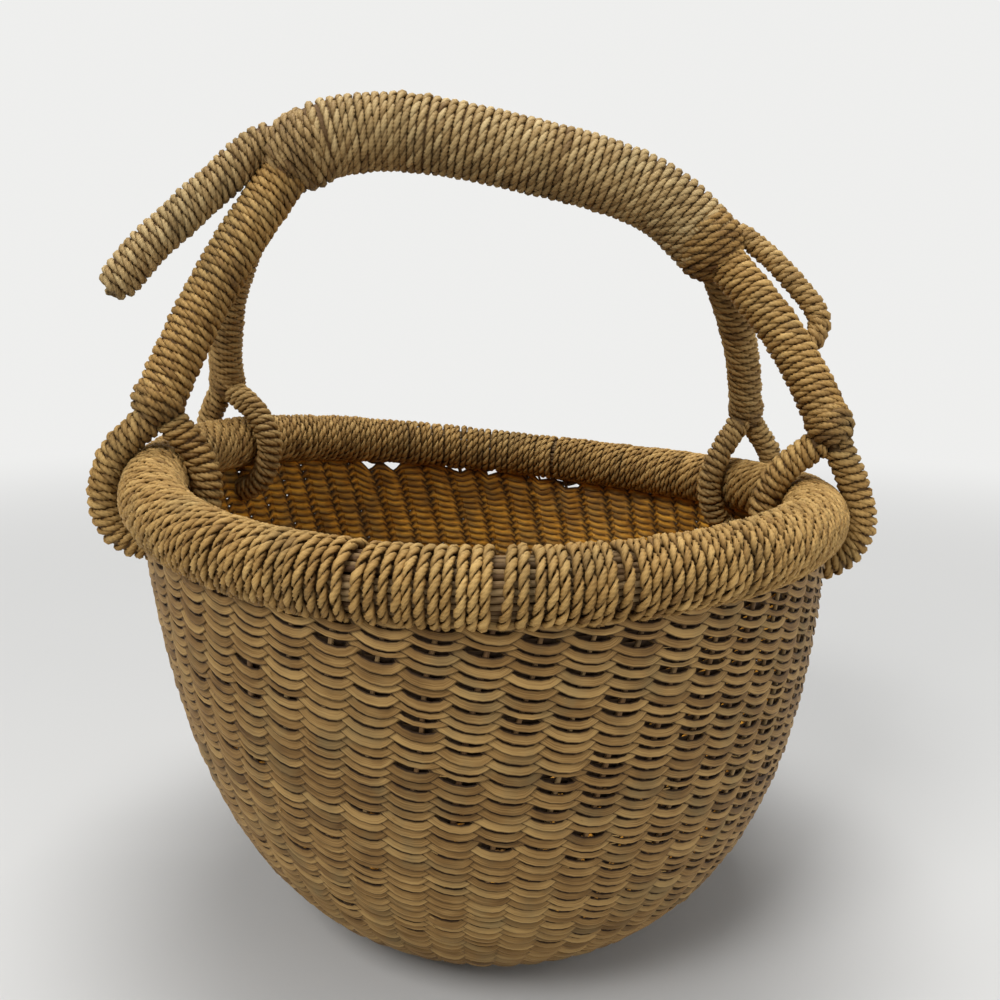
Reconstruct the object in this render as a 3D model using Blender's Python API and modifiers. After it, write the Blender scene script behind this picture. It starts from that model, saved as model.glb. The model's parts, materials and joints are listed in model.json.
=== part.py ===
"""A round market basket woven from dried grass, with a cord-wound branching handle.

The bowl is plain twined: upright stakes held between an outer and an inner layer of weft. The
rim is a bundle of straw wound with cord. The handle is a straw-cored arch that divides into two
legs at each end. Each leg forks above the rim, and its foot loops round the rim through the weave.

Units are metres, +Z is up and the front faces -Y. The origin is the middle of the base's underside.
"""

import math

import bmesh
import bpy
from mathutils import Matrix, Vector

MM = 0.001

# Rim: the middle of its tube, and the tube itself.
RIM_RADIUS = 172.0 * MM
RIM_TUBE_RADIUS = 15.4 * MM
RIM_SECTION_COUNT = 9
RIM_CORE_SIDE_COUNT = 8

# Bowl: its outer face is a superellipse of depth, finished by a curve into the flat base.
# The outset is from the middle of the rim's tube to the face, if it ran up to the tube's middle.
BOWL_DEPTH = 217.0 * MM
WALL_OUTSET = 8.0 * MM
WALL_TOP_RADIUS = RIM_RADIUS + WALL_OUTSET
WALL_TAPER = 15.5 * MM
WALL_DEPTH_EXPONENT = 2.85
WALL_ROUND_EXPONENT = 2.77
WALL_CURVE_SHARE = 0.938
WALL_FORMULA_SHARE = 0.93
SLOPE_STEP_SHARE = 0.01
BASE_RADIUS = 72.0 * MM
BASE_EDGE_BEVEL = 0.8 * MM
WALL_SECTION_COUNT = 4
WALL_SPACING_POWER = 0.6
WALL_FOOT_SECTION_COUNT = 2
BOWL_STEP_COUNT = 40

# Layers of the wall, measured inwards from its outer face.
WEFT_THICKNESS = 1.2 * MM
STAKE_RADIUS = 1.0 * MM
STAKE_PLAY = 0.8 * MM
STAKE_COUNT = 60
STAKE_SIDE_COUNT = 4
STAKE_TWIST_DEGREES = 11.3
WALL_THICKNESS = 2 * (WEFT_THICKNESS + STAKE_PLAY + STAKE_RADIUS)

# Where a foot passes through the wall, the stakes beside it are pushed apart.
FOOT_PLAY = 1.9 * MM
CROSSING_DEPTH = 36.0 * MM
SPREAD_DEPTH = 80.0 * MM
SPREAD_REACH_DEGREES = 9.0

# Handmade shape: the bowl is slightly oval, its rim rises and twists, and it leans.
OVAL_SHARE = 0.036
RIM_TILT = 8.8 * MM
RIM_SADDLE = 4.1 * MM
RIM_TWIST = 4.5 * MM
BOWL_LEAN = 6.7 * MM

# Fit between pieces that touch, and how far a cutter runs past what it cuts.
CLEARANCE = 0.3 * MM
SLOT_CLEARANCE = 0.6 * MM
CUT_OVERRUN = 8.0 * MM
WELD_DISTANCE = 0.01 * MM
MERGE_DISTANCE = 0.1 * MM
SHARP_DEGREES = 50

# Windings: a long member shows its turns of cord as ribs, one to a turn.
WINDING_THICKNESS = 4.0 * MM
TURN_PITCH = 4.8 * MM
TURN_GROOVE = 1.3 * MM
HIDDEN_TURN_COUNT = 5
TUBE_SIDE_COUNT = 8
ROUTE_STEP = 15.0 * MM
LOOP_STEP = 14.0 * MM
ROUTE_SAMPLE_COUNT = 12

# Arch of the handle: shares of the rim's radius (across, back) and of the arch's rise.
ARCH_RISE = 183.0 * MM
ARCH_RADIUS = 20.0 * MM
ARCH_END_SHARES = (0.99, 0.92)
ARCH_ROUTE_SHARES = (
    (-0.56, 0.055, 0.935),
    (-0.50, 0.060, 0.968),
    (-0.42, 0.080, 0.988),
    (-0.30, 0.100, 1.000),
    (-0.18, 0.100, 0.991),
    (-0.06, 0.100, 0.975),
    (0.135, 0.100, 0.936),
    (0.296, 0.100, 0.902),
    (0.458, 0.100, 0.852),
    (0.567, 0.095, 0.792),
    (0.665, 0.090, 0.705),
)

# Bindings where the arch divides: half sizes of an egg shape.
LEFT_BINDING_HALF = (20.5 * MM, 26.0 * MM, 24.0 * MM)
RIGHT_BINDING_HALF = (21.5 * MM, 23.0 * MM, 22.0 * MM)
BINDING_SIDE_COUNT = 12
BINDING_RING_COUNT = 6

# Feet: a loop round the rim in the radial plane at an angle, under a fork.
# A reach is (degrees from straight up, turning outwards; share of the closest fit to the rim).
FORK_HALF_HEIGHT = 13.0 * MM
FORK_MARGIN = 1.2 * MM
FORK_DROP = 4.0 * MM
FOOT_GAP = 0.4 * MM
LEGS = {
    "front_left": {
        "side": -1,
        "angle": 193.0,
        "leg_radius": 12.4 * MM,
        "foot_radius": 8.6 * MM,
        "fork_height": 31.0 * MM,
        "fork_outset": 0.0,
        "bow_share": 0.037,
        "wound": True,
        "reach_shares": ((50, 1.12), (85, 1.22), (115, 1.36), (145, 1.48), (175, 1.46),
                         (205, 1.32), (235, 1.14), (270, 1.04), (308, 1.04)),
    },
    "front_right": {
        "side": 1,
        "angle": -12.0,
        "leg_radius": 11.4 * MM,
        "foot_radius": 7.6 * MM,
        "fork_height": 35.0 * MM,
        "fork_outset": 5.0 * MM,
        "bow_share": 0.062,
        "wound": True,
        "reach_shares": ((48, 1.16), (80, 1.10), (109, 1.20), (138, 1.28), (165, 1.30),
                         (195, 1.22), (228, 1.12), (265, 1.06), (300, 1.04), (328, 1.12)),
    },
    "back_left": {
        "side": -1,
        "angle": 154.0,
        "leg_radius": 10.6 * MM,
        "foot_radius": 8.0 * MM,
        "fork_height": 34.0 * MM,
        "fork_outset": 7.0 * MM,
        "bow_share": 0.095,
        "wound": False,
        "reach_shares": ((50, 1.18), (85, 1.08), (120, 1.15), (150, 1.26), (180, 1.26),
                         (215, 1.14), (250, 1.05), (285, 1.04), (325, 1.08)),
    },
    "back_right": {
        "side": 1,
        "angle": 24.0,
        "leg_radius": 10.6 * MM,
        "foot_radius": 8.0 * MM,
        "fork_height": 40.0 * MM,
        "fork_outset": 0.0,
        "bow_share": 0.050,
        "wound": False,
        "reach_shares": ((45, 1.20), (85, 1.10), (120, 1.15), (150, 1.26), (180, 1.26),
                         (215, 1.14), (250, 1.06), (285, 1.06), (320, 1.18)),
    },
}

LEG_POINT_SHARES = (0.0, 0.2, 0.4, 0.6, 0.8, 1.0)

# Finger: the free branch on the left, from the junction down and out to a round tip.
FINGER_RADIUS = 10.0 * MM
FINGER_TIP_SHARES = (0.94, 0.80, 0.50)
FINGER_TIP_STEP = 2.6 * MM
FINGER_ROUTE_SHARES = (
    (-0.64, 0.035, 0.962),
    (-0.71, 0.000, 0.914),
    (-0.77, -0.030, 0.853),
    (-0.84, -0.060, 0.790),
    (-0.90, -0.090, 0.730),
    (-0.96, -0.120, 0.672),
    (-1.01, -0.140, 0.614),
    (-1.043, -0.150, 0.573),
)

# Curl: the thin loop on the right shoulder, which hooks back against the front right leg.
CURL_RADIUS = 6.5 * MM
CURL_STEP = 10.0 * MM
CURL_ROUTE_SHARES = (
    (0.745, 0.100, 0.740),
    (0.835, 0.050, 0.675),
    (0.900, 0.000, 0.605),
    (0.957, -0.040, 0.535),
    (0.978, -0.060, 0.485),
    (0.955, -0.080, 0.435),
    (0.905, -0.095, 0.410),
)

STRAW = (0.270, 0.160, 0.066)
PALE_STRAW = (0.330, 0.205, 0.090)
DARK_STRAW = (0.120, 0.060, 0.020)
CORD = (0.300, 0.180, 0.078)


def material(name, color, roughness):
    """A plain straw or cord finish."""
    mat = bpy.data.materials.new(name)
    mat.use_nodes = True
    shader = mat.node_tree.nodes["Principled BSDF"]
    shader.inputs["Base Color"].default_value = (*color, 1.0)
    shader.inputs["Roughness"].default_value = roughness
    shader.inputs["Metallic"].default_value = 0.0
    return mat


def clear_scene():
    """Removes every object that the file opened with."""
    for obj in list(bpy.data.objects):
        bpy.data.objects.remove(obj, do_unlink=True)


def new_collection(name):
    """A collection under the scene's own."""
    collection = bpy.data.collections.new(name)
    bpy.context.scene.collection.children.link(collection)
    return collection


def evaluated_mesh(obj):
    """The object's shape with its modifiers or bevel, as a mesh. The object is removed."""
    bpy.context.view_layer.update()
    depsgraph = bpy.context.evaluated_depsgraph_get()
    mesh = bpy.data.meshes.new_from_object(obj.evaluated_get(depsgraph))
    bpy.data.objects.remove(obj, do_unlink=True)
    return mesh


def weld(mesh):
    """Joins a mesh's loose caps and turns its faces outwards."""
    work = bmesh.new()
    work.from_mesh(mesh)
    bmesh.ops.remove_doubles(work, verts=work.verts, dist=WELD_DISTANCE)
    bmesh.ops.recalc_face_normals(work, faces=work.faces)
    work.to_mesh(mesh)
    work.free()


# Places on the bowl

def rim_lift(angle):
    """How far the rim stands above its mean height at an angle."""
    return (-RIM_TILT * math.cos(angle) + RIM_SADDLE * math.cos(2 * angle)
            - RIM_TWIST * math.sin(2 * angle))


def bowl_place(radius, angle, height):
    """A point of the true, handmade bowl for a point of the plain turned one."""
    rise = height / BOWL_DEPTH
    across = radius * (1 - OVAL_SHARE * math.cos(2 * angle))
    return Vector((
        across * math.cos(angle) - BOWL_LEAN * rise,
        across * math.sin(angle),
        height + rim_lift(angle) * rise,
    ))


def wall_formula(depth_share):
    """Radius and height of the wall's outer face, for a share of the bowl's depth."""
    straight = WALL_TOP_RADIUS - WALL_TAPER * depth_share
    rounding = 1 - (WALL_CURVE_SHARE * depth_share) ** WALL_DEPTH_EXPONENT
    return straight * rounding ** (1 / WALL_ROUND_EXPONENT), BOWL_DEPTH * (1 - depth_share)


def wall_outline(sections, foot_sections):
    """Points down the wall's outer face, from under the rim core to the edge of the base."""
    top_share = (bore_radius(RIM_TUBE_RADIUS) + SLOT_CLEARANCE) / BOWL_DEPTH
    points = []
    for index in range(sections + 1):
        along = (index / sections) ** WALL_SPACING_POWER
        share = top_share + (WALL_FORMULA_SHARE - top_share) * along
        points.append(Vector(wall_formula(share)))
    start = points[-1]
    before = Vector(wall_formula(WALL_FORMULA_SHARE - SLOPE_STEP_SHARE))
    slope = (start - before).normalized()
    turn = start + slope * (start.y / -slope.y)
    end = Vector((BASE_RADIUS, 0))
    for index in range(1, foot_sections + 1):
        share = index / foot_sections
        points.append(start * (1 - share) ** 2 + turn * 2 * share * (1 - share) + end * share ** 2)
    return points


def inset(outline, depth):
    """The wall's outline moved inwards by a depth, square to itself."""
    moved = []
    last = len(outline) - 1
    for index, point in enumerate(outline):
        before = outline[max(index - 1, 0)]
        after = outline[min(index + 1, last)]
        if index == last:
            moved.append(point + Vector((0, depth)))
            continue
        along = (after - before).normalized()
        moved.append(point + Vector((along.y, -along.x)) * depth)
    return moved


def turned(name, profile, collection, mat, closed=True):
    """A ring or disc turned from a profile of (radius, height), then set on the true bowl."""
    mesh = bpy.data.meshes.new(name)
    edges = [(i, i + 1) for i in range(len(profile) - 1)]
    if closed:
        edges.append((len(profile) - 1, 0))
    mesh.from_pydata([(p[0], 0, p[1]) for p in profile], edges, [])
    source = bpy.data.objects.new(name, mesh)
    collection.objects.link(source)
    screw = source.modifiers.new("Turn", "SCREW")
    screw.axis = "Z"
    screw.angle = 2 * math.pi
    screw.steps = BOWL_STEP_COUNT
    screw.render_steps = BOWL_STEP_COUNT
    screw.use_merge_vertices = True
    screw.merge_threshold = MERGE_DISTANCE
    result = evaluated_mesh(source)
    for vertex in result.vertices:
        radius = math.hypot(vertex.co.x, vertex.co.y)
        angle = math.atan2(vertex.co.y, vertex.co.x)
        vertex.co = bowl_place(radius, angle, vertex.co.z)
    weld(result)
    return finished(name, result, collection, mat)


def finished(name, mesh, collection, mat):
    """An object of a mesh, with its material and shading."""
    obj = bpy.data.objects.new(name, mesh)
    obj.data.name = name
    collection.objects.link(obj)
    obj.data.materials.clear()
    if mat:
        obj.data.materials.append(mat)
    obj.data.shade_smooth()
    obj.data.set_sharp_from_angle(angle=math.radians(SHARP_DEGREES))
    return obj


# Tubes along routes

def smooth_route(points):
    """Closely spaced points on a smooth curve through the given points."""
    padded = [points[0] * 2 - points[1], *points, points[-1] * 2 - points[-2]]
    fine = []
    for p0, p1, p2, p3 in zip(padded, padded[1:], padded[2:], padded[3:]):
        for index in range(ROUTE_SAMPLE_COUNT):
            t = index / ROUTE_SAMPLE_COUNT
            fine.append(0.5 * (2 * p1 + (p2 - p0) * t + (2 * p0 - 5 * p1 + 4 * p2 - p3) * t ** 2
                               + (3 * p1 - p0 - 3 * p2 + p3) * t ** 3))
    fine.append(points[-1])
    return fine


def route_length(points):
    """Length along a route."""
    return sum((b - a).length for a, b in zip(points, points[1:]))


def resampled(points, step):
    """The same route in equal steps, as near as it can be to the given one."""
    total = route_length(points)
    count = max(2, round(total / step))
    result = [points[0].copy()]
    walked = 0
    target = 1
    for a, b in zip(points, points[1:]):
        piece = (b - a).length
        while target < count and walked + piece >= total * target / count:
            result.append(a.lerp(b, (total * target / count - walked) / piece))
            target += 1
        walked += piece
    result.append(points[-1].copy())
    return result


def extended(points, length):
    """A route run on straight at both ends."""
    start = points[0] + (points[0] - points[1]).normalized() * length
    end = points[-1] + (points[-1] - points[-2]).normalized() * length
    return [start, *points, end]


def tube(name, routes, radius, collection, mat, radius_shares=None, sides=TUBE_SIDE_COUNT):
    """A tube along each route, as one welded mesh."""
    curve = bpy.data.curves.new(name, "CURVE")
    curve.dimensions = "3D"
    curve.bevel_depth = radius
    curve.bevel_resolution = sides // 2 - 2
    curve.use_fill_caps = True
    for route in routes:
        spline = curve.splines.new("POLY")
        spline.points.add(len(route) - 1)
        for index, place in enumerate(route):
            spline.points[index].co = (*place, 1)
            if radius_shares:
                spline.points[index].radius = radius_shares[index]
    source = bpy.data.objects.new(name, curve)
    collection.objects.link(source)
    mesh = evaluated_mesh(source)
    weld(mesh)
    return finished(name, mesh, collection, mat)


def even_shares(points, ends):
    """A radius share for each point, going evenly from one end's share to the other's."""
    last = len(points) - 1
    return [ends[0] + (ends[1] - ends[0]) * index / last for index in range(last + 1)]


def ribbed_route(points, radius):
    """A finer route with two points to each turn of cord, and their crest and groove shares.

    The turns at both ends stay plain, because they are hidden in a binding.
    """
    turns = round(route_length(points) / TURN_PITCH)
    fine = resampled(points, route_length(points) / (2 * turns))
    groove = 1 - TURN_GROOVE / radius
    shares = [1.0] * len(fine)
    for index in range(2 * HIDDEN_TURN_COUNT, len(fine) - 2 * HIDDEN_TURN_COUNT, 2):
        shares[index] = groove
    return fine, shares


def cut(obj, cutter, solver="EXACT"):
    """Takes a cutter's shape out of an object."""
    boolean = obj.modifiers.new("Cut " + cutter.name, "BOOLEAN")
    boolean.operation = "DIFFERENCE"
    boolean.solver = solver
    boolean.object = cutter


def as_cutter(obj):
    """Marks an object as a guide that only cuts."""
    obj.hide_render = True
    obj.display_type = "WIRE"
    return obj


def bore_radius(radius):
    """Bore of a winding of a given outer radius."""
    return radius - WINDING_THICKNESS


def core_radius(radius):
    """A core's radius: its corners clear the flats of the winding's bore."""
    return bore_radius(radius) * math.cos(math.pi / TUBE_SIDE_COUNT) - CLEARANCE


class Basket:
    """The collections, finishes and shared cutters of the whole basket."""

    def __init__(self):
        self.parts = new_collection("bolga_basket")
        self.cutters = new_collection("cutters")
        self.straw = material("weft_straw", STRAW, 0.62)
        self.pale = material("inner_straw", PALE_STRAW, 0.66)
        self.dark = material("stake_straw", DARK_STRAW, 0.75)
        self.cord = material("winding_cord", CORD, 0.60)
        self.core = material("core_straw", DARK_STRAW, 0.80)
        self.clear = {}

    def clearance_tube(self, name, route, radius, step=ROUTE_STEP, ends=(1.0, 1.0)):
        """A cutter a little wider than a tube that other pieces have to clear."""
        points = resampled(route, step)
        obj = tube(name + "_clear", [points], radius + CLEARANCE, self.cutters, None,
                   even_shares(points, ends))
        self.clear[name] = as_cutter(obj)
        return self.clear[name]

    def wound_member(self, name, route, radius, ribbed, keep_clear, step=ROUTE_STEP,
                     ends=(1.0, 1.0)):
        """A straw core in a cord winding along one route, cut clear of its neighbours.

        The exact solver leaves faults where these tubes leave a binding, so they are cut with
        the manifold one.
        """
        points = resampled(route, step)
        turns, ribs = ribbed_route(route, radius) if ribbed else (points, [1.0] * len(points))
        shares = [rib * share for rib, share in zip(ribs, even_shares(turns, ends))]
        winding = tube(name + "_winding", [turns], radius, self.parts, self.cord, shares)
        through = extended(points, CUT_OVERRUN)
        bore = tube(name + "_bore", [through], bore_radius(radius), self.cutters, None,
                    even_shares(through, ends))
        cut(winding, as_cutter(bore), "MANIFOLD")
        core = tube(name + "_core", [points], core_radius(radius), self.parts, self.core,
                    even_shares(points, ends))
        for neighbour in keep_clear:
            cut(winding, self.clear[neighbour], "MANIFOLD")
            cut(core, self.clear[neighbour], "MANIFOLD")

    def binding(self, name, centre, half, turn=0.0):
        """An egg-shaped lump of crossing strands, and the cutter that its members end at."""
        for suffix, collection, mat, grow in (
                ("_binding", self.parts, self.cord, 0),
                ("_binding_clear", self.cutters, None, CLEARANCE)):
            mesh = bpy.data.meshes.new(name + suffix)
            work = bmesh.new()
            bmesh.ops.create_uvsphere(work, u_segments=BINDING_SIDE_COUNT, v_segments=BINDING_RING_COUNT,
                                      radius=1.0)
            for vertex in work.verts:
                vertex.co = Vector((vertex.co[axis] * (half[axis] + grow) for axis in range(3)))
            bmesh.ops.rotate(work, verts=work.verts, matrix=Matrix.Rotation(turn, 3, "Z"))
            bmesh.ops.translate(work, verts=work.verts, vec=centre)
            work.to_mesh(mesh)
            work.free()
            obj = finished(name + suffix, mesh, collection, mat)
            if not mat:
                self.clear[name + "_binding"] = as_cutter(obj)


def handle_place(across_share, back_share, rise_share):
    """A point of the handle, from shares of the rim's radius and of the arch's rise."""
    return Vector((
        across_share * RIM_RADIUS - BOWL_LEAN,
        back_share * RIM_RADIUS,
        BOWL_DEPTH + rise_share * ARCH_RISE,
    ))


def rim_frame(leg):
    """The rim's centre where a foot grips it, and the outward direction there."""
    angle = math.radians(leg["angle"])
    centre = bowl_place(RIM_RADIUS, angle, BOWL_DEPTH)
    return centre, Vector((math.cos(angle), math.sin(angle), 0))


def fork_place(leg):
    """The middle of a leg's fork, above the rim."""
    centre, outward = rim_frame(leg)
    return centre + outward * leg["fork_outset"] + Vector((0, 0, leg["fork_height"]))


def leg_route(leg, start):
    """A leg from the arch's binding to its fork, bowed outwards between them."""
    end = fork_place(leg)
    reach = end - start
    bow = Vector((leg["side"], 0, 0)) * reach.length * leg["bow_share"]
    return [start + reach * share + bow * math.sin(math.pi * share)
            for share in LEG_POINT_SHARES]


def foot_route(leg):
    """A foot's loop: out of the fork, down outside the rim, through the wall and up inside."""
    centre, outward = rim_frame(leg)
    apart = outward * (leg["foot_radius"] + FOOT_GAP)
    closest = RIM_TUBE_RADIUS + leg["foot_radius"] + CLEARANCE
    fork = fork_place(leg) - Vector((0, 0, FORK_DROP))
    route = [fork + apart]
    for degrees, share in leg["reach_shares"]:
        turn = math.radians(degrees)
        reach = outward * math.sin(turn) + Vector((0, 0, math.cos(turn)))
        route.append(centre + reach * closest * share)
    route.append(fork - apart)
    return route


# Sub-assemblies

def build_bowl(basket):
    """The base, the two layers of weft, and the stakes between them."""
    outline = wall_outline(WALL_SECTION_COUNT, WALL_FOOT_SECTION_COUNT)
    layers = (
        ("outer_weft", 0, basket.straw),
        ("inner_weft", WALL_THICKNESS - WEFT_THICKNESS, basket.pale),
    )
    wefts = []
    for name, depth, mat in layers:
        outer = inset(outline, depth)
        inner = inset(outline, depth + WEFT_THICKNESS)
        wefts.append(turned(name, outer + inner[::-1], basket.parts, mat))
    base_edge = BASE_RADIUS - CLEARANCE
    base_outline = (
        (0, WALL_THICKNESS),
        (base_edge - BASE_EDGE_BEVEL, WALL_THICKNESS),
        (base_edge, WALL_THICKNESS - BASE_EDGE_BEVEL),
        (base_edge, BASE_EDGE_BEVEL),
        (base_edge - BASE_EDGE_BEVEL, 0),
        (0, 0),
    )
    turned("base_weave", base_outline, basket.parts, basket.straw, closed=False)
    tube("wall_stakes", [stake_route(outline)], STAKE_RADIUS, basket.parts, basket.dark,
         sides=STAKE_SIDE_COUNT)
    return wefts


def stake_twist(height):
    """How far a stake has leaned round the bowl at a height, from where it starts at the rim."""
    return math.radians(STAKE_TWIST_DEGREES) * (1 - height / BOWL_DEPTH)


def stake_push(angle):
    """How far a stake is pushed aside, for its angle at the depth where the feet pass."""
    reach = math.radians(SPREAD_REACH_DEGREES)
    for leg in LEGS.values():
        away = math.remainder(angle - math.radians(leg["angle"]), 2 * math.pi)
        if abs(away) < reach:
            half_gap = (leg["foot_radius"] + STAKE_RADIUS + FOOT_PLAY) / RIM_RADIUS
            return math.copysign(half_gap * (1 - abs(away) / reach), away)
    return 0.0


def stake_route(outline):
    """One straw's centre line, doubled back at the rim and at the base to make every stake."""
    middle = inset(outline, WALL_THICKNESS / 2)
    middle[-1] += Vector((STAKE_RADIUS + CLEARANCE, 0))
    route = []
    for index in range(STAKE_COUNT):
        start = 2 * math.pi * (index + 0.5) / STAKE_COUNT
        push = stake_push(start - stake_twist(BOWL_DEPTH - CROSSING_DEPTH))
        stake = []
        for point in middle:
            pushed = push if point.y > BOWL_DEPTH - SPREAD_DEPTH else 0.0
            stake.append(bowl_place(point.x, start - stake_twist(point.y) + pushed, point.y))
        route += stake if index % 2 == 0 else stake[::-1]
    return route


def build_rim(basket):
    """The straw core of the rim and the winding round it, open below where the wall enters."""
    inner = bore_radius(RIM_TUBE_RADIUS)
    wall_radius = wall_formula(RIM_TUBE_RADIUS / BOWL_DEPTH)[0] - WALL_THICKNESS / 2
    offset = wall_radius - RIM_RADIUS
    half_slot = WALL_THICKNESS / 2 + SLOT_CLEARANCE
    low = math.asin((offset + half_slot) / inner)
    high = math.asin((offset - half_slot) / inner) + 2 * math.pi
    profile = []
    for radius, order in ((RIM_TUBE_RADIUS, 1), (inner, -1)):
        ring = []
        for index in range(RIM_SECTION_COUNT + 1):
            turn = low + (high - low) * index / RIM_SECTION_COUNT
            ring.append((RIM_RADIUS + radius * math.sin(turn),
                         BOWL_DEPTH - radius * math.cos(turn)))
        profile += ring[::order]
    turned("rim_winding", profile[::-1], basket.parts, basket.cord)
    facet = (high - low) / RIM_SECTION_COUNT / 2
    core = inner * math.cos(facet) - CLEARANCE
    section = []
    for index in range(RIM_CORE_SIDE_COUNT):
        turn = 2 * math.pi * index / RIM_CORE_SIDE_COUNT
        section.append((RIM_RADIUS + core * math.sin(turn), BOWL_DEPTH + core * math.cos(turn)))
    turned("rim_core", section, basket.parts, basket.core)


def build_handle(basket):
    """The arch, its bindings, the legs, forks and feet, the finger and the curl."""
    arch_points = [handle_place(*shares) for shares in ARCH_ROUTE_SHARES]
    left, right = arch_points[0], arch_points[-1]
    basket.binding("left", left, LEFT_BINDING_HALF)
    basket.binding("right", right, RIGHT_BINDING_HALF)

    arch = smooth_route(arch_points)
    basket.clearance_tube("arch", arch, ARCH_RADIUS, ends=ARCH_END_SHARES)
    basket.wound_member("arch", arch, ARCH_RADIUS, True, ["left_binding", "right_binding"],
                        ends=ARCH_END_SHARES)

    feet = []
    for name, leg in LEGS.items():
        start = left if leg["side"] < 0 else right
        route = smooth_route(leg_route(leg, start))
        binding = "left_binding" if leg["side"] < 0 else "right_binding"
        keep_clear = [binding, "arch", name + "_fork_binding"]
        half = (2 * leg["foot_radius"] + FOOT_GAP + FORK_MARGIN,
                leg["leg_radius"] + FORK_MARGIN, FORK_HALF_HEIGHT)
        basket.binding(name + "_fork", fork_place(leg), half, math.radians(leg["angle"]))
        basket.clearance_tube(name + "_leg", route, leg["leg_radius"])
        if name.startswith("back"):
            keep_clear.append(name.replace("back", "front") + "_leg")
        basket.wound_member(name + "_leg", route, leg["leg_radius"], leg["wound"], keep_clear)
        foot = smooth_route(foot_route(leg))
        feet.append(basket.clearance_tube(name + "_foot", foot, leg["foot_radius"], LOOP_STEP))
        basket.wound_member(name + "_foot", foot, leg["foot_radius"], False,
                            [name + "_fork_binding"], LOOP_STEP)
    build_finger(basket, left)
    build_curl(basket, right)
    return feet


def build_finger(basket, start):
    """The free finger: a winding closed over its round tip, and a core inside it."""
    points = [start, *(handle_place(*shares) for shares in FINGER_ROUTE_SHARES)]
    route = smooth_route(points)
    fine, shares = ribbed_route(route, FINGER_RADIUS)
    route = resampled(route, ROUTE_STEP)
    onward = (fine[-1] - fine[-2]).normalized() * FINGER_TIP_STEP
    for tip_share in FINGER_TIP_SHARES:
        fine.append(fine[-1] + onward)
        shares.append(tip_share)
    winding = tube("finger_winding", [fine], FINGER_RADIUS, basket.parts, basket.cord, shares)
    bore = tube("finger_bore", [extended(route, CUT_OVERRUN)[:-1]], bore_radius(FINGER_RADIUS),
                basket.cutters, None)
    cut(winding, as_cutter(bore))
    inside = [*route[:-1], route[-1] - onward.normalized() * CLEARANCE]
    core = tube("finger_core", [inside], core_radius(FINGER_RADIUS), basket.parts, basket.core)
    for neighbour in ("left_binding", "arch", "front_left_leg", "back_left_leg"):
        cut(winding, basket.clear[neighbour])
        cut(core, basket.clear[neighbour])


def build_curl(basket, start):
    """The thin curl that leaves the right shoulder and hooks back against the leg."""
    points = [start, *(handle_place(*shares) for shares in CURL_ROUTE_SHARES)]
    basket.wound_member("curl", smooth_route(points), CURL_RADIUS, False,
                        ["right_binding", "arch", "front_right_leg", "back_right_leg"],
                        CURL_STEP)


def main():
    """Builds the basket."""
    clear_scene()
    basket = Basket()
    walls = build_bowl(basket)
    build_rim(basket)
    feet = build_handle(basket)
    for wall in walls:
        for foot in feet:
            cut(wall, foot)


main()
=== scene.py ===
"""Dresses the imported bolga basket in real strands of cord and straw, in a pale studio.

Units are metres, +Z is up and the front faces -Y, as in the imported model. Each winding is laid
as one long two-ply cord, and the wall as pairs of flat straws twined round upright stakes.
"""

import json
import logging
import math
from dataclasses import dataclass, field, replace
from enum import Enum
from itertools import product

import bpy
import numpy as np
from mathutils import Matrix, Vector

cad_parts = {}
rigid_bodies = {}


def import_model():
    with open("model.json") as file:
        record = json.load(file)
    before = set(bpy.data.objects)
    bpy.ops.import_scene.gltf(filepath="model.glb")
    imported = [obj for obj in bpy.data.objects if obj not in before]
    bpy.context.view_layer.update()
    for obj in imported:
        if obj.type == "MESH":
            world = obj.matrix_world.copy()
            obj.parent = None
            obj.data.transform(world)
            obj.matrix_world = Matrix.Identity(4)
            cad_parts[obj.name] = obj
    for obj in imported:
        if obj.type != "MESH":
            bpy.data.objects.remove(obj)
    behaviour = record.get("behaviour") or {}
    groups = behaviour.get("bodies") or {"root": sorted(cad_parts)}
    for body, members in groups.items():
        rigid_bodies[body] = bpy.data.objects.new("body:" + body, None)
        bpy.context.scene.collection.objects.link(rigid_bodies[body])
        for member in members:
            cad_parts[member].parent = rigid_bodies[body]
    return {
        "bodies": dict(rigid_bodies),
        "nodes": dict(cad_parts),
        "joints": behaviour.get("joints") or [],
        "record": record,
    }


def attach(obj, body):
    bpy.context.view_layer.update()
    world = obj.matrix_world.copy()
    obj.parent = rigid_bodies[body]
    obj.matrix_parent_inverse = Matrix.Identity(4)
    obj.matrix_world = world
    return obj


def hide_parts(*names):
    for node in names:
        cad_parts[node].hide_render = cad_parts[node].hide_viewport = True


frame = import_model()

Array = np.ndarray
Colour = tuple[float, float, float]
Place = tuple[float, float, float]
# A random drift along a run: how far apart its knots are, and their standard deviation
Drift = tuple[float, float]

MM = 0.001
TURN = 2 * math.pi
RIGHT, BACK, UP = np.eye(3)
BODY = "root"
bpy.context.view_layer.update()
LOG = logging.getLogger("basket")
FLOAT, COLOUR = "NodeSocketFloat", "NodeSocketColor"
SEED = 7
# Each strand's grain starts at a random place, up to so many metres along
LAY_SHIFT = 40.0
# Radius inside which an arc's length is no longer shortened
NEAR_AXIS = 5 * MM


class Slot(Enum):
    """The record's material slots that the strands take."""

    WEFT = "weft_straw"
    STAKE = "stake_straw"
    CORD = "winding_cord"
    CORE = "core_straw"


# Shader effects that several finishes share


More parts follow.
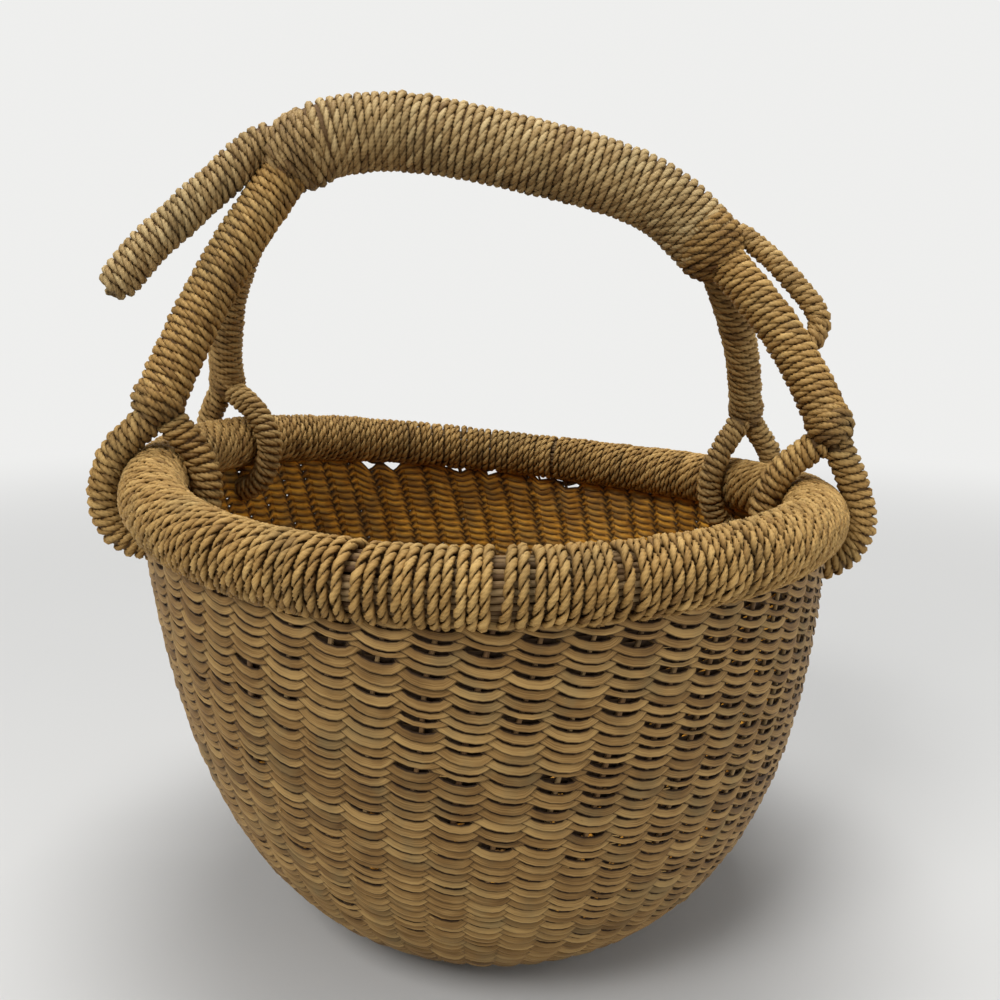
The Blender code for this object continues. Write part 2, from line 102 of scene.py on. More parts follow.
@dataclass
class Board:
    """Places nodes in one node tree and joins them."""

    tree: bpy.types.NodeTree

    def feed(self, node: bpy.types.Node, inputs: dict) -> None:
        """Fills a node's inputs.

        Args:
            node: the node.
            inputs: for each input's name or index, a constant or the socket that feeds it.
        """
        for name, value in inputs.items():
            if isinstance(value, bpy.types.NodeSocket):
                self.tree.links.new(value, node.inputs[name])
            else:
                node.inputs[name].default_value = value

    def add(self, kind: str, inputs: dict | None = None, **settings: object) -> bpy.types.Node:
        """Adds one shader node.

        Args:
            kind: its Blender type, without the first words that all share.
            inputs: its inputs, as for feed.
            settings: the node's own options.

        Returns:
            The new node.
        """
        node = self.tree.nodes.new("ShaderNode" + kind)
        for name, value in settings.items():
            setattr(node, name, value)
        self.feed(node, inputs or {})
        return node

    def math(self, operation: str, *values: object, clamp: bool = False) -> bpy.types.NodeSocket:
        """Adds a Math node and gives its output, kept between 0 and 1 where clamp says so."""
        return self.add("Math", dict(enumerate(values)), operation=operation,
                        use_clamp=clamp).outputs[0]

    def stretch(self, value: object, band: tuple[float, float]) -> bpy.types.NodeSocket:
        """Stretches a value so that the band's ends become 0 and 1, and gives the result."""
        return self.add("MapRange", {
            "Value": value, "From Min": band[0], "From Max": band[1]}).outputs[0]

    def blend(self, share: object, first: object, second: object,
              kind: str = "MIX") -> bpy.types.NodeSocket:
        """Mixes two colours by how much of the second shows, and gives the mixed one."""
        return self.add("Mix", {0: share, 6: first, 7: second}, data_type="RGBA",
                        blend_type=kind).outputs[2]

    def attribute(self, name: str, part: str = "Fac") -> bpy.types.NodeSocket:
        """Reads one of a strand's own attributes."""
        return self.add("Attribute", attribute_name=name).outputs[part]

    def place(self, group: bpy.types.NodeTree, inputs: dict) -> bpy.types.NodeOutputs:
        """Adds a node group with its inputs, and gives its outputs."""
        return self.add("Group", inputs, node_tree=group).outputs


@dataclass(frozen=True)
class GroupForm:
    """The name and the sockets of a shader node group."""

    name: str
    inputs: dict[str, float | tuple[float, ...]]
    outputs: dict[str, str]

    def start(self) -> tuple[Board, bpy.types.NodeOutputs, bpy.types.Node]:
        """Makes the group with its sockets.

        Returns:
            A board on the group's tree, the sockets of its inputs, and its output node.
        """
        tree = bpy.data.node_groups.new(self.name, "ShaderNodeTree")
        for name, value in self.inputs.items():
            kind = COLOUR if isinstance(value, tuple) else FLOAT
            socket = tree.interface.new_socket(name, in_out="INPUT", socket_type=kind)
            socket.default_value = value
        for name, kind in self.outputs.items():
            tree.interface.new_socket(name, in_out="OUTPUT", socket_type=kind)
        given = tree.nodes.new("NodeGroupInput").outputs
        return Board(tree), given, tree.nodes.new("NodeGroupOutput")


class SharedEffects:
    """The node groups that every straw and cord finish uses."""

    streak_band: tuple[float, float] = (0.28, 0.72)
    blotch_band: tuple[float, float] = (0.3, 0.7)
    patch_band: tuple[float, float] = (0.5, 0.72)
    patch_roughness: float = 0.12
    recess_roughness: float = 0.15

    def __init__(self) -> None:
        """Builds the groups once."""
        self.fibre = self._fibre_grain()
        self.tone = self._straw_tone()
        self.age = self._age()

    def _fibre_grain(self) -> bpy.types.NodeTree:
        """Long fibres that follow each strand, from the strand's own coordinates.

        Returns:
            A group that puts out streaks, blotches and a height.
        """
        board, given, sink = GroupForm(
            "fibre_grain",
            {"Fibre Length": 0.02, "Fibre Width": 0.0003, "Blotch Length": 0.012},
            {"Streak": FLOAT, "Blotch": FLOAT, "Height": FLOAT}).start()
        parts = board.add("SeparateXYZ", {0: board.attribute("lay", "Vector")}).outputs
        sizes = enumerate(("Fibre Length", "Fibre Width", "Fibre Width"))
        place = board.add("CombineXYZ", {
            index: board.math("DIVIDE", parts[index], given[size]) for index, size in sizes})
        fine = board.add("TexNoise", {
            "Vector": place.outputs[0], "Scale": 1.0, "Detail": 2.0, "Roughness": 0.65})
        spaced = board.math("DIVIDE", parts[0], given["Blotch Length"])
        wide = board.add("TexNoise", {"W": spaced, "Scale": 1.0, "Detail": 1.0},
                         noise_dimensions="1D")
        board.feed(sink, {
            "Streak": board.stretch(fine.outputs["Fac"], self.streak_band),
            "Blotch": board.stretch(wide.outputs["Fac"], self.blotch_band),
            "Height": fine.outputs["Fac"]})
        return board.tree

    def _straw_tone(self) -> bpy.types.NodeTree:
        """A straw's colour, from its own tone, its streaks and its blotches, brightened by
        painted light where it faces the bowl's inside.

        Returns:
            A group that puts out the colour.
        """
        board, given, sink = GroupForm(
            "straw_tone",
            {"Pale": (0.5, 0.4, 0.2, 1), "Middle": (0.3, 0.2, 0.1, 1),
             "Dark": (0.1, 0.06, 0.03, 1), "Streak": 0.5, "Streak Amount": 0.3,
             "Blotch": 0.5, "Blotch Amount": 0.2, "Inside": (1.0, 1.0, 1.0, 1)},
            {"Color": COLOUR}).start()
        level = board.attribute("tone")
        for name in ("Streak", "Blotch"):
            shift = board.math("SUBTRACT", given[name], 0.5)
            level = board.math("MULTIPLY_ADD", shift, given[name + " Amount"], level)
        low = board.math("MULTIPLY", level, 2.0, clamp=True)
        high = board.math("MULTIPLY_ADD", level, 2.0, -1.0, clamp=True)
        colour = board.blend(low, given["Dark"], given["Middle"])
        colour = board.blend(high, colour, given["Pale"])
        board.feed(sink, {"Color": board.blend(
            board.attribute("inside"), colour, given["Inside"], "MULTIPLY")})
        return board.tree

    def _age(self) -> bpy.types.NodeTree:
        """Weathered patches, and painted shade deep between and under strands, where the surface
        is also made rougher.

        Returns:
            A group that puts out the stained colour with its painted shade, and how rough it has
            grown.
        """
        board, given, sink = GroupForm(
            "age",
            {"Color": (0.3, 0.2, 0.1, 1), "Stain": (0.2, 0.2, 0.1, 1), "Stain Amount": 0.3,
             "Patch Size": 0.03, "Recess": (0.1, 0.05, 0.02, 1), "Recess Amount": 0.5,
             "Roughness": 0.6},
            {"Color": COLOUR, "Roughness": FLOAT}).start()
        where = board.add("TexCoord")
        scale = board.math("DIVIDE", 1.0, given["Patch Size"])
        patches = board.add("TexNoise", {
            "Vector": where.outputs["Object"], "Scale": scale, "Detail": 3.0, "Roughness": 0.6})
        mask = board.stretch(patches.outputs["Fac"], self.patch_band)
        share = board.math("MULTIPLY", mask, given["Stain Amount"])
        colour = board.blend(share, given["Color"], given["Stain"])
        # Painted shade: the colour darkens towards the shade colour, as far as each strand's
        # stored amount says
        depth = board.math("MULTIPLY", board.attribute("recess"), given["Recess Amount"],
                           clamp=True)
        rough = board.math("MULTIPLY_ADD", mask, self.patch_roughness, given["Roughness"])
        board.feed(sink, {
            "Color": board.blend(depth, colour, given["Recess"]),
            "Roughness": board.math("MULTIPLY_ADD", depth, self.recess_roughness, rough,
                                    clamp=True)})
        return board.tree


@dataclass(frozen=True)
class StrandFinish:
    """How one kind of straw or cord looks."""

    name: str
    slot: Slot
    pale: Colour
    middle: Colour
    dark: Colour
    stain: Colour = (0.20, 0.17, 0.085)
    # Painted shade: the dark colour that is mixed in deep between and under strands
    recess: Colour = (0.045, 0.022, 0.008)
    # Painted light: multiplies the colour of faces turned to the bowl's inside
    inside: Colour = (1.0, 1.0, 1.0)
    fibre_length: float = 22 * MM
    fibre_width: float = 0.34 * MM
    blotch_length: float = 14 * MM
    streak_amount: float = 0.38
    blotch_amount: float = 0.22
    stain_amount: float = 0.35
    patch_size: float = 34 * MM
    recess_amount: float = 0.75
    roughness: float = 0.56
    bump_depth: float = 0.16 * MM
    bump_strength: float = 0.6
    specular: float = 0.2

    def material(self, effects: SharedEffects) -> bpy.types.Material:
        """Builds the material.

        Args:
            effects: the shared node groups.

        Returns:
            The material.
        """
        made = bpy.data.materials.new(self.name)
        made.use_nodes = True
        board = Board(made.node_tree)
        grain = board.place(effects.fibre, {
            "Fibre Length": self.fibre_length, "Fibre Width": self.fibre_width,
            "Blotch Length": self.blotch_length})
        tone = board.place(effects.tone, {
            "Pale": (*self.pale, 1), "Middle": (*self.middle, 1), "Dark": (*self.dark, 1),
            "Streak": grain["Streak"], "Streak Amount": self.streak_amount,
            "Blotch": grain["Blotch"], "Blotch Amount": self.blotch_amount,
            "Inside": (*self.inside, 1)})
        age = board.place(effects.age, {
            "Color": tone["Color"], "Stain": (*self.stain, 1),
            "Stain Amount": self.stain_amount, "Patch Size": self.patch_size,
            "Recess": (*self.recess, 1), "Recess Amount": self.recess_amount,
            "Roughness": self.roughness})
        bump = board.add("Bump", {"Height": grain["Height"], "Distance": self.bump_depth,
                                  "Strength": self.bump_strength}).outputs
        board.feed(made.node_tree.nodes["Principled BSDF"], {
            "Base Color": age["Color"], "Roughness": age["Roughness"],
            "Normal": bump["Normal"], "Specular IOR Level": self.specular})
        return made


@dataclass(frozen=True)
class Finishes:
    """Every finish of the basket."""

    cord: StrandFinish = StrandFinish(
        "twisted_grass_cord", Slot.CORD, pale=(0.68, 0.51, 0.25), middle=(0.42, 0.275, 0.11),
        dark=(0.13, 0.066, 0.02), fibre_width=0.26 * MM, fibre_length=9 * MM)
    rim_cord: StrandFinish = StrandFinish(
        "golden_grass_cord", Slot.CORD, pale=(0.68, 0.44, 0.158), middle=(0.42, 0.243, 0.073),
        dark=(0.12, 0.053, 0.013), fibre_width=0.26 * MM, fibre_length=9 * MM)
    # A copy of the cord with a darker pale tone and fainter streaks, as painted shade, for the
    # back legs and the curl
    shaded_cord: StrandFinish = StrandFinish(
        "smooth_grass_cord", Slot.CORD, pale=(0.60, 0.40, 0.155), middle=(0.39, 0.235, 0.079),
        dark=(0.17, 0.085, 0.024), fibre_width=0.3 * MM, fibre_length=14 * MM,
        streak_amount=0.22)
    # The weft has a very dark colour for painted shade, and painted light that brightens its
    # faces inside the bowl
    weft: StrandFinish = StrandFinish(
        "flat_grass_weft", Slot.WEFT, pale=(0.47, 0.29, 0.1), middle=(0.235, 0.127, 0.037),
        dark=(0.065, 0.03, 0.007), recess=(0.02, 0.009, 0.003), inside=(3.0, 2.45, 0.75),
        fibre_width=0.3 * MM, fibre_length=16 * MM, streak_amount=0.52, recess_amount=0.97,
        patch_size=20 * MM, stain_amount=0.4)
    stake: StrandFinish = StrandFinish(
        "brown_stake_straw", Slot.STAKE, pale=(0.40, 0.26, 0.11), middle=(0.21, 0.115, 0.045),
        dark=(0.08, 0.035, 0.012), roughness=0.62)
    core: StrandFinish = StrandFinish(
        "bundled_core_straw", Slot.CORE, pale=(0.36, 0.24, 0.11), middle=(0.19, 0.11, 0.045),
        dark=(0.07, 0.033, 0.012), roughness=0.7)

    def materials(self, effects: SharedEffects) -> dict[str, bpy.types.Material]:
        """Builds every material from the shared node groups, keyed by its finish's name."""
        return {kind.name: kind.material(effects) for kind in vars(self).values()}


@dataclass
class Workshop:
    """What every sub-assembly needs: finishes, materials and one seeded run of chance."""

    finishes: Finishes
    materials: dict[str, bpy.types.Material]
    chance: np.random.Generator

    def wander(self, at: Array, every: float, spread: float) -> Array:
        """A smooth random drift along a run.

        Args:
            at: the places on the run.
            every: how far apart its random knots are.
            spread: their standard deviation.

        Returns:
            The drift at each place.
        """
        knots = np.arange(at.min() - every, at.max() + 2 * every, every)
        return np.interp(at, knots, self.chance.normal(0, spread, len(knots)))

    def straw_tone(self, run: Array, level: float, spread: float, patches: Drift) -> Array:
        """One straw's tone: a mean level, its own difference from it, and its patches."""
        return level + self.chance.normal(0, spread) + self.wander(run, *patches)

    def dress(self, piece: bpy.types.Object, finish: StrandFinish, *nodes: str) -> None:
        """Gives a piece its material, its body and the solids that it stands for.

        Args:
            piece: the new object.
            finish: its finish.
            nodes: the CAD nodes that it replaces.
        """
        piece.data.materials.append(self.materials[finish.name])
        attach(piece, BODY)
        if nodes:
            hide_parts(*nodes)
        LOG.info("%s: %d faces", piece.name, len(piece.data.polygons))


# Vectors, and meshes of swept strands


def unit(vectors: Array) -> Array:
    """Vectors brought to length 1."""
    return vectors / np.maximum(np.linalg.norm(vectors, axis=-1, keepdims=True), 1e-12)


def swing(angle: Array, first: Array, second: Array) -> Array:
    """Directions that lie an angle away from the first one, towards the second."""
    return np.cos(angle)[..., None] * first + np.sin(angle)[..., None] * second


def run_along(points: Array) -> Array:
    """How far along a line each of its points lies."""
    return np.concatenate([[0.0], np.cumsum(np.linalg.norm(np.diff(points, axis=0), axis=1))])


def corners_of(sides: int) -> Array:
    """The angles of a ring's evenly spaced corners."""
    return np.arange(sides) * TURN / sides


def put_in_scene(name: str, data: bpy.types.ID) -> bpy.types.Object:
    """Makes an object at the origin.

    Args:
        name: its name.
        data: its mesh, lamp or lens.

    Returns:
        The object, linked to the scene.
    """
    made = bpy.data.objects.new(name, data)
    bpy.context.scene.collection.objects.link(made)
    return made


@dataclass
class StrandMesh:
    """The rings of many swept strands, gathered for one object."""

    name: str
    points: list[Array] = field(default_factory=list)
    values: list[Array] = field(default_factory=list)
    quads: list[Array] = field(default_factory=list)
    caps: list[Array] = field(default_factory=list)
    count: int = 0

    def add(self, rings: Array, lay: tuple[Array, Array, Array], tone: Array | float,
            recess: Array | float = 0.0, inside: Array | float = 0.0) -> None:
        """Adds one closed strand. All but its rings may be numbers, (steps, 1) or (sides,).

        Args:
            rings: (steps, sides, 3) points, anticlockwise as seen looking back along it.
            lay: its coordinates in the strand: along, and two across.
            tone: how pale it is, from 0 to 1.
            recess: how much painted shade darkens it, from 0 to 1.
            inside: how much painted light brightens it where it faces the bowl's inside, from 0
                to 1.
        """
        shape = rings.shape[:2]
        grid = self.count + np.arange(shape[0] * shape[1]).reshape(shape)
        turned = np.roll(grid, -1, axis=1)
        self.quads.append(np.stack(
            [grid[:-1], turned[:-1], turned[1:], grid[1:]], axis=-1).reshape(-1, 4))
        self.caps += [grid[0][::-1], grid[-1]]
        self.points.append(rings.reshape(-1, 3))
        self.values.append(np.stack([
            np.broadcast_to(value, shape).reshape(-1)
            for value in (*lay, np.clip(tone, 0, 1), recess, inside)]))
        self.count += grid.size

    def build(self, sharp_degrees: float | None = None) -> bpy.types.Object:
        """Makes the object, with its strand coordinates as attributes.

        Args:
            sharp_degrees: edges sharper than this stay crisp, or None for all smooth.

        Returns:
            The object, at the origin.
        """
        points, quads = np.concatenate(self.points), np.concatenate(self.quads)
        corners = np.concatenate([quads.reshape(-1), *self.caps])
        sizes = np.concatenate([np.full(len(quads), 4), [len(cap) for cap in self.caps]])
        starts = np.concatenate([[0], np.cumsum(sizes)[:-1]])
        mesh = bpy.data.meshes.new(self.name)
        for part, key, values, kind in (
                (mesh.vertices, "co", points, np.float32),
                (mesh.loops, "vertex_index", corners, np.int32),
                (mesh.polygons, "loop_start", starts, np.int32)):
            part.add(len(values))
            part.foreach_set(key, values.astype(kind).reshape(-1))
        mesh.update(calc_edges=True)
        *lay, tone, recess, inside = np.concatenate(self.values, axis=1)
        for name, kind, key, values in (
                ("lay", "FLOAT_VECTOR", "vector", np.stack(lay, axis=-1)),
                ("tone", "FLOAT", "value", tone), ("recess", "FLOAT", "value", recess),
                ("inside", "FLOAT", "value", inside)):
            layer = mesh.attributes.new(name, kind, "POINT")
            layer.data.foreach_set(key, values.astype(np.float32).reshape(-1))
        mesh.shade_smooth()
        if sharp_degrees:
            mesh.set_sharp_from_angle(angle=math.radians(sharp_degrees))
        return put_in_scene(self.name, mesh)


@dataclass(frozen=True)
class TwoPlyCord:
    """The grass cord: two plies twisted round each other, flattened where it is pulled tight."""

    ply_offset: float = 0.84 * MM
    ply_radial: float = 1.30 * MM
    ply_across: float = 1.72 * MM
    tight_share: float = 0.9
    spread: float = 1.0
    lay_steps: int = 7
    corners_degrees: tuple[float, ...] = (0, 62, 128, 232, 298)
    inner_share: float = 0.62
    ply_shift: float = 3 * MM
    twist_drift: Drift = (35 * MM, 0.22)
    ply_drift: Drift = (20 * MM, 0.12)
    swell: Drift = (7 * MM, 0.07)
    strand_tone: Drift = (90 * MM, 0.13)
    patch_tone: Drift = (9 * MM, 0.08)
    base_tone: float = 0.38
    # Painted highlight: each ply is paler where it stands out from the cord
    raised_painted_highlight: float = 0.28
    # Painted shade: the cord is darker where it faces down
    under_painted_shade: float = 0.2
    # Painted shade in the crevices between the plies, fading out towards their raised sides
    recess_middle: float = 0.5
    recess_fall: float = 0.6

    @property
    def half(self) -> float:
        """Half the cord's thickness."""
        return self.ply_offset + self.ply_radial * self.tight_share

    def add_to(self, mesh: StrandMesh, axis: Array, away: Array, shop: Workshop) -> None:
        """Lays a length of cord.

        Args:
            mesh: the mesh that takes its plies.
            axis: (n, 3) the cord's middle line, in even steps.
            away: (n, 3) the direction away from what it is wound on.
            shop: the workshop, for its chance.
        """
        run = run_along(axis)
        tangent = unit(np.gradient(axis, axis=0))
        side = unit(np.cross(tangent, away))
        out = np.cross(side, tangent)
        wide = side * self.spread
        phase = np.arange(len(axis)) * TURN / self.lay_steps + shop.chance.uniform(0, TURN)
        phase = phase + shop.wander(run, *self.twist_drift)
        corners = np.radians(self.corners_degrees)
        radial = self.ply_radial * np.cos(corners)
        radial = np.where(radial < 0, radial * self.inner_share, radial)
        across = self.ply_across * np.sin(corners)
        for ply in range(2):
            grow = (1 + shop.wander(run, *self.swell))[:, None, None]
            turn = phase + ply * math.pi + shop.wander(run, *self.ply_drift)
            reach, cross = swing(turn, out, wide), swing(turn, wide, -out)
            rings = (axis + reach * self.ply_offset)[:, None] + grow * (
                radial[:, None] * reach[:, None] + across[:, None] * cross[:, None])
            lay = (run[:, None] + shop.chance.uniform(0, LAY_SHIFT),
                   radial + ply * self.ply_shift, across)
            # Painted shade on the underside, a painted highlight on each ply's raised side, and
            # painted shade in its crevices
            tone = (self.base_tone + shop.wander(run, *self.strand_tone)
                    + shop.wander(run, *self.patch_tone)
                    - self.under_painted_shade * np.maximum(-away[:, 2], 0))
            lift = np.einsum("nkj,nj->nk", rings - axis[:, None], out) / self.half
            mesh.add(rings, lay, tone[:, None] + self.raised_painted_highlight * np.maximum(lift, 0),
                     np.clip(self.recess_middle - self.recess_fall * lift, 0, 1))


HANDLE_CORD = TwoPlyCord(ply_offset=0.62 * MM, ply_radial=1.54 * MM, spread=1.12)
# The bindings' cord is painted darker than the rest, as painted shade
SHADED_BINDING_CORD = replace(HANDLE_CORD, base_tone=0.2)


# Places on the bowl


@dataclass(frozen=True)
class BowlForm:
    """The handmade bowl's shape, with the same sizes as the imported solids."""

    depth: float = 217.0 * MM
    rim_radius: float = 172.0 * MM
    rim_tube_radius: float = 15.4 * MM
    wall_top_radius: float = 180.0 * MM
    wall_taper: float = 15.5 * MM
    depth_exponent: float = 2.85
    round_exponent: float = 2.77
    curve_share: float = 0.938
    formula_share: float = 0.93
    slope_step: float = 0.01
    base_radius: float = 72.0 * MM
    thickness: float = 6.0 * MM
    oval_share: float = 0.036
    rim_tilt: float = 8.8 * MM
    rim_saddle: float = 4.1 * MM
    rim_twist: float = 4.5 * MM
    lean: float = 6.7 * MM
    stake_count: int = 60
    stake_twist: float = math.radians(13.0)
    twist_exponent: float = 0.75
    wall_steps: int = 300
    turn_steps: int = 60

    def lift(self, angle: Array) -> Array:
        """How far the rim stands above its mean height at an angle."""
        return (-self.rim_tilt * np.cos(angle) + self.rim_saddle * np.cos(2 * angle)
                - self.rim_twist * np.sin(2 * angle))

    def place(self, radius: Array, angle: Array, height: Array) -> Array:
        """Points of the true bowl for points of the plain turned one.

        Args:
            radius: distances from the plain bowl's axis.
            angle: angles round it.
            height: heights above the base.

        Returns:
            The points.
        """
        rise = height / self.depth
        across = radius * (1 - self.oval_share * np.cos(2 * angle))
        return np.stack([
            across * np.cos(angle) - self.lean * rise,
            across * np.sin(angle),
            height + self.lift(angle) * rise,
        ], axis=-1)

    def formula(self, share: Array) -> Array:
        """The wall's outer face.

        Args:
            share: shares of the bowl's depth, down from the rim.

        Returns:
            The (radius, height) at each.
        """
        straight = self.wall_top_radius - self.wall_taper * share
        rounding = 1 - (self.curve_share * share) ** self.depth_exponent
        return np.stack([straight * rounding ** (1 / self.round_exponent),
                         self.depth * (1 - share)], axis=-1)

    def outline(self) -> tuple[Array, Array]:
        """The outer face, from the rim's plane down and in to the middle of the base.

        Returns:
            The run to each point, and the points as (radius, height).
        """
        wall = self.formula(np.linspace(0, self.formula_share, self.wall_steps))
        before = self.formula(np.array([self.formula_share - self.slope_step]))[0]
        slope = unit(wall[-1] - before)
        turn = wall[-1] + slope * (wall[-1][1] / -slope[1])
        share = np.linspace(0, 1, self.turn_steps)[1:, None]
        end = np.array([self.base_radius, 0.0])
        foot = wall[-1] * (1 - share) ** 2 + turn * 2 * share * (1 - share) + end * share ** 2
        flat = np.linspace(self.base_radius, 0, self.turn_steps)[1:]
        points = np.concatenate([wall, foot, np.stack([flat, np.zeros_like(flat)], axis=-1)])
        return run_along(points), points


@dataclass
class BowlSkin:
    """Finds points by how far down the outer face they are, and how deep inside it."""

    form: BowlForm

    def __post_init__(self) -> None:
        """Prepares the outline and the direction down it."""
        self.run, self.points = self.form.outline()
        self.down = unit(np.gradient(self.points, self.run, axis=0))
        self.length = float(self.run[-1])

    def radius(self, run: Array) -> Array:
        """The outer face's radius."""
        return np.interp(run, self.run, self.points[:, 0])

    def height(self, run: Array) -> Array:
        """The outer face's height."""
        return np.interp(run, self.run, self.points[:, 1])

    def run_at_radius(self, radius: float) -> float:
        """How far down the base's flat a radius is."""
        return self.length - radius

    def point(self, run: Array, inward: Array, angle: Array) -> Array:
        """Points in the wall.

        Args:
            run: distances down the outer face from the rim's plane.
            inward: depths inside the outer face.
            angle: angles round the bowl.

        Returns:
            The points.
        """
        down_r = np.interp(run, self.run, self.down[:, 0])
        down_h = np.interp(run, self.run, self.down[:, 1])
        radius = self.radius(run) + down_h * inward
        height = self.height(run) - down_r * inward
        return self.form.place(np.abs(radius), angle, height)

    def twist(self, run: Array) -> Array:
        """How far a stake has leaned round the bowl at a run."""
        share = np.clip(1 - self.height(run) / self.form.depth, 0, 1)
        return self.form.stake_twist * share ** self.form.twist_exponent


@dataclass
class TwinedWeave:
    """Rows of twining, of two flat straws that pass in front of and behind each stake by turns.

    A straw's path repeats every two stakes, counted from the stake that it covers. It comes out
    high, over the end of the straw before it, lies flat, and ends low under the straw after it.
    """

    skin: BowlSkin
    top_run: float = 5 * MM
    row_pitch_top: float = 4.5 * MM
    row_pitch_foot: float = 4.75 * MM
    # Place in stakes, lower edge in rows, half width in rows, and mm out of the wall's middle
    path: tuple[tuple[float, float, float, float], ...] = (
        (-1.00, 0.28, 0.70, -1.75), (-0.74, 0.48, 0.74, -1.35), (-0.62, 0.46, 0.72, -0.30),
        (-0.52, 0.33, 0.56, 0.35), (-0.41, 0.12, 0.48, 0.90), (-0.27, -0.17, 0.43, 1.40),
        (-0.08, -0.44, 0.425, 1.70), (0.17, -0.58, 0.425, 1.75), (0.34, -0.52, 0.43, 1.50),
        (0.47, -0.30, 0.48, 0.95), (0.58, 0.00, 0.61, 0.20), (0.69, 0.16, 0.74, -0.80))
    across_shares: tuple[float, ...] = (1.0, 0.86, 0.70, -0.64, -1.0, -0.1)
    radial_shares: tuple[float, ...] = (0.0, 0.7, 1.0, 1.0, 0.0, -1.0)
    # Painted shade at each ring corner: under the straw above, and a dark line along the lower
    # edge
    recess_shares: tuple[float, ...] = (1.0, 0.95, 0.15, 0.0, 1.0, 0.0)
    # Painted light at each ring corner, mostly its back, where it faces the bowl's inside
    inside_shares: tuple[float, ...] = (0.2, 0.0, 0.0, 0.0, 0.15, 1.0)
    # Painted shade on straws hidden behind the stakes and the other straws
    hidden_recesses: tuple[float, ...] = (0.8, 1.0, 1.0, 1.0, 0.8, 0.0)
    inside_reach: float = 1.1 * MM
    crown: float = 0.42 * MM
    back: float = 0.42 * MM
    # Where two straws swap sides they are bunched, so they grow thicker behind
    bunch_depth: float = 1.0 * MM
    bunch_reach: float = 1.7 * MM
    tilt: float = 0.34
    end_tilt: float = 0.14
    face_depth: float = 0.3 * MM
    face_middle: float = -0.8 * MM
    shown_reach: float = 0.66
    slack_angle: float = math.radians(-28)
    slack_width: float = math.radians(44)
    slack: float = 0.16
    # One straw in five lies loose, and leaves a dark gap under it
    thin_share: float = 0.2
    thin_lifts: tuple[float, float] = (0.16, 0.34)
    place_spread: float = 0.02
    thin_spread: float = 0.07
    rise_spread: float = 0.075
    proud_spread: float = 0.16 * MM
    # Towards the middle of the base the straws are pulled flatter
    narrow_radius: float = 60 * MM
    narrow_least: float = 0.75
    base_tone: float = 0.52
    straw_tone: float = 0.10
    stitch_tone: float = 0.09
    straw_stitches: int = 5
    # Painted shade and highlight: each straw is darker along its upper part under the straw
    # above, and paler at its lower lip
    edge_painted_light: tuple[float, ...] = (-0.2, -0.1, 0.0, 0.16, 0.1, 0.0)
    shade_start: float = 0.6 * MM
    shade_depth: float = 2.4 * MM
    pair_shift: float = 7 * MM
    least_rings: int = 4
    sharp_degrees: float = 50.0
    wall_parts: tuple[str, ...] = ("upper", "middle", "lower")
    # Stakes that stand in each band, and the radius that it runs in to
    bands: tuple[tuple[int, float], ...] = ((60, 54 * MM), (30, 27 * MM), (15, 9 * MM))
    # Small openings under the back rim, as (angle, width) in degrees
    slits: tuple[tuple[float, float], ...] = (
        (118.0, 2.2), (112.5, 2.4), (97.6, 2.8), (90.4, 2.0), (78.4, 2.4), (72.0, 2.4))
    slit_sag: float = 4.8 * MM
    slit_half: float = 0.36
    slit_run: float = 19.0 * MM
    slit_fade: float = 34.0 * MM
    end_count: int = 200
    end_rows: tuple[int, int] = (4, -6)
    end_radius: float = 0.5 * MM
    end_reach: float = 0.16
    end_sides: int = 4
    end_steps: int = 4
    end_slant: float = 1.2 * MM
    end_sizes: tuple[float, float] = (0.6, 1.2)
    end_sink: float = 0.6 * MM
    end_lengths: tuple[float, float] = (2.2, 3.2)
    end_tones: tuple[float, float, float] = (0.75, 0.15, 0.2)

    def row_runs(self) -> Array:
        """Where the rows lie.

        Returns:
            The run of each, from the rim's middle down to the middle of the base.
        """
        runs = [0.0]
        while runs[-1] < self.skin.length - self.bands[-1][1]:
            share = min(runs[-1] / self.skin.length, 1)
            runs.append(runs[-1] + self.row_pitch_top
                        + (self.row_pitch_foot - self.row_pitch_top) * share)
        return np.array(runs)

    def slit_share(self, angle: Array) -> Array:
        """How near places are to a slit under the rim.

        Args:
            angle: their angles.

        Returns:
            For each, 1 at a slit's middle and 0 away from it.
        """
        level = np.remainder(angle, TURN)
        near = np.zeros_like(level)
        for place, width in self.slits:
            near = near + np.exp(-((level - math.radians(place)) / math.radians(width)) ** 2)
        return np.minimum(near, 1)

    def add_strand(self, mesh: StrandMesh, shop: Workshop, stakes: int, rows: Array,
                   parity: int) -> None:
        """Lays one of a pair's two straws as a spiral over several rows.

        Args:
            mesh: the mesh that takes it.
            shop: the workshop, for its chance.
            stakes: how many stakes stand round the bowl here.
            rows: the run of each row, and of the one after the last.
            parity: 0 or 1, for the two straws of the pair.
        """
        path = np.array(self.path)
        periods = -(-stakes * (len(rows) - 1) // 2)
        segment = np.repeat(np.arange(periods), len(path))

        def drawn(spread: float) -> Array:
            """One normal draw for each time that the straw shows."""
            return shop.chance.normal(0, spread, periods)[segment]

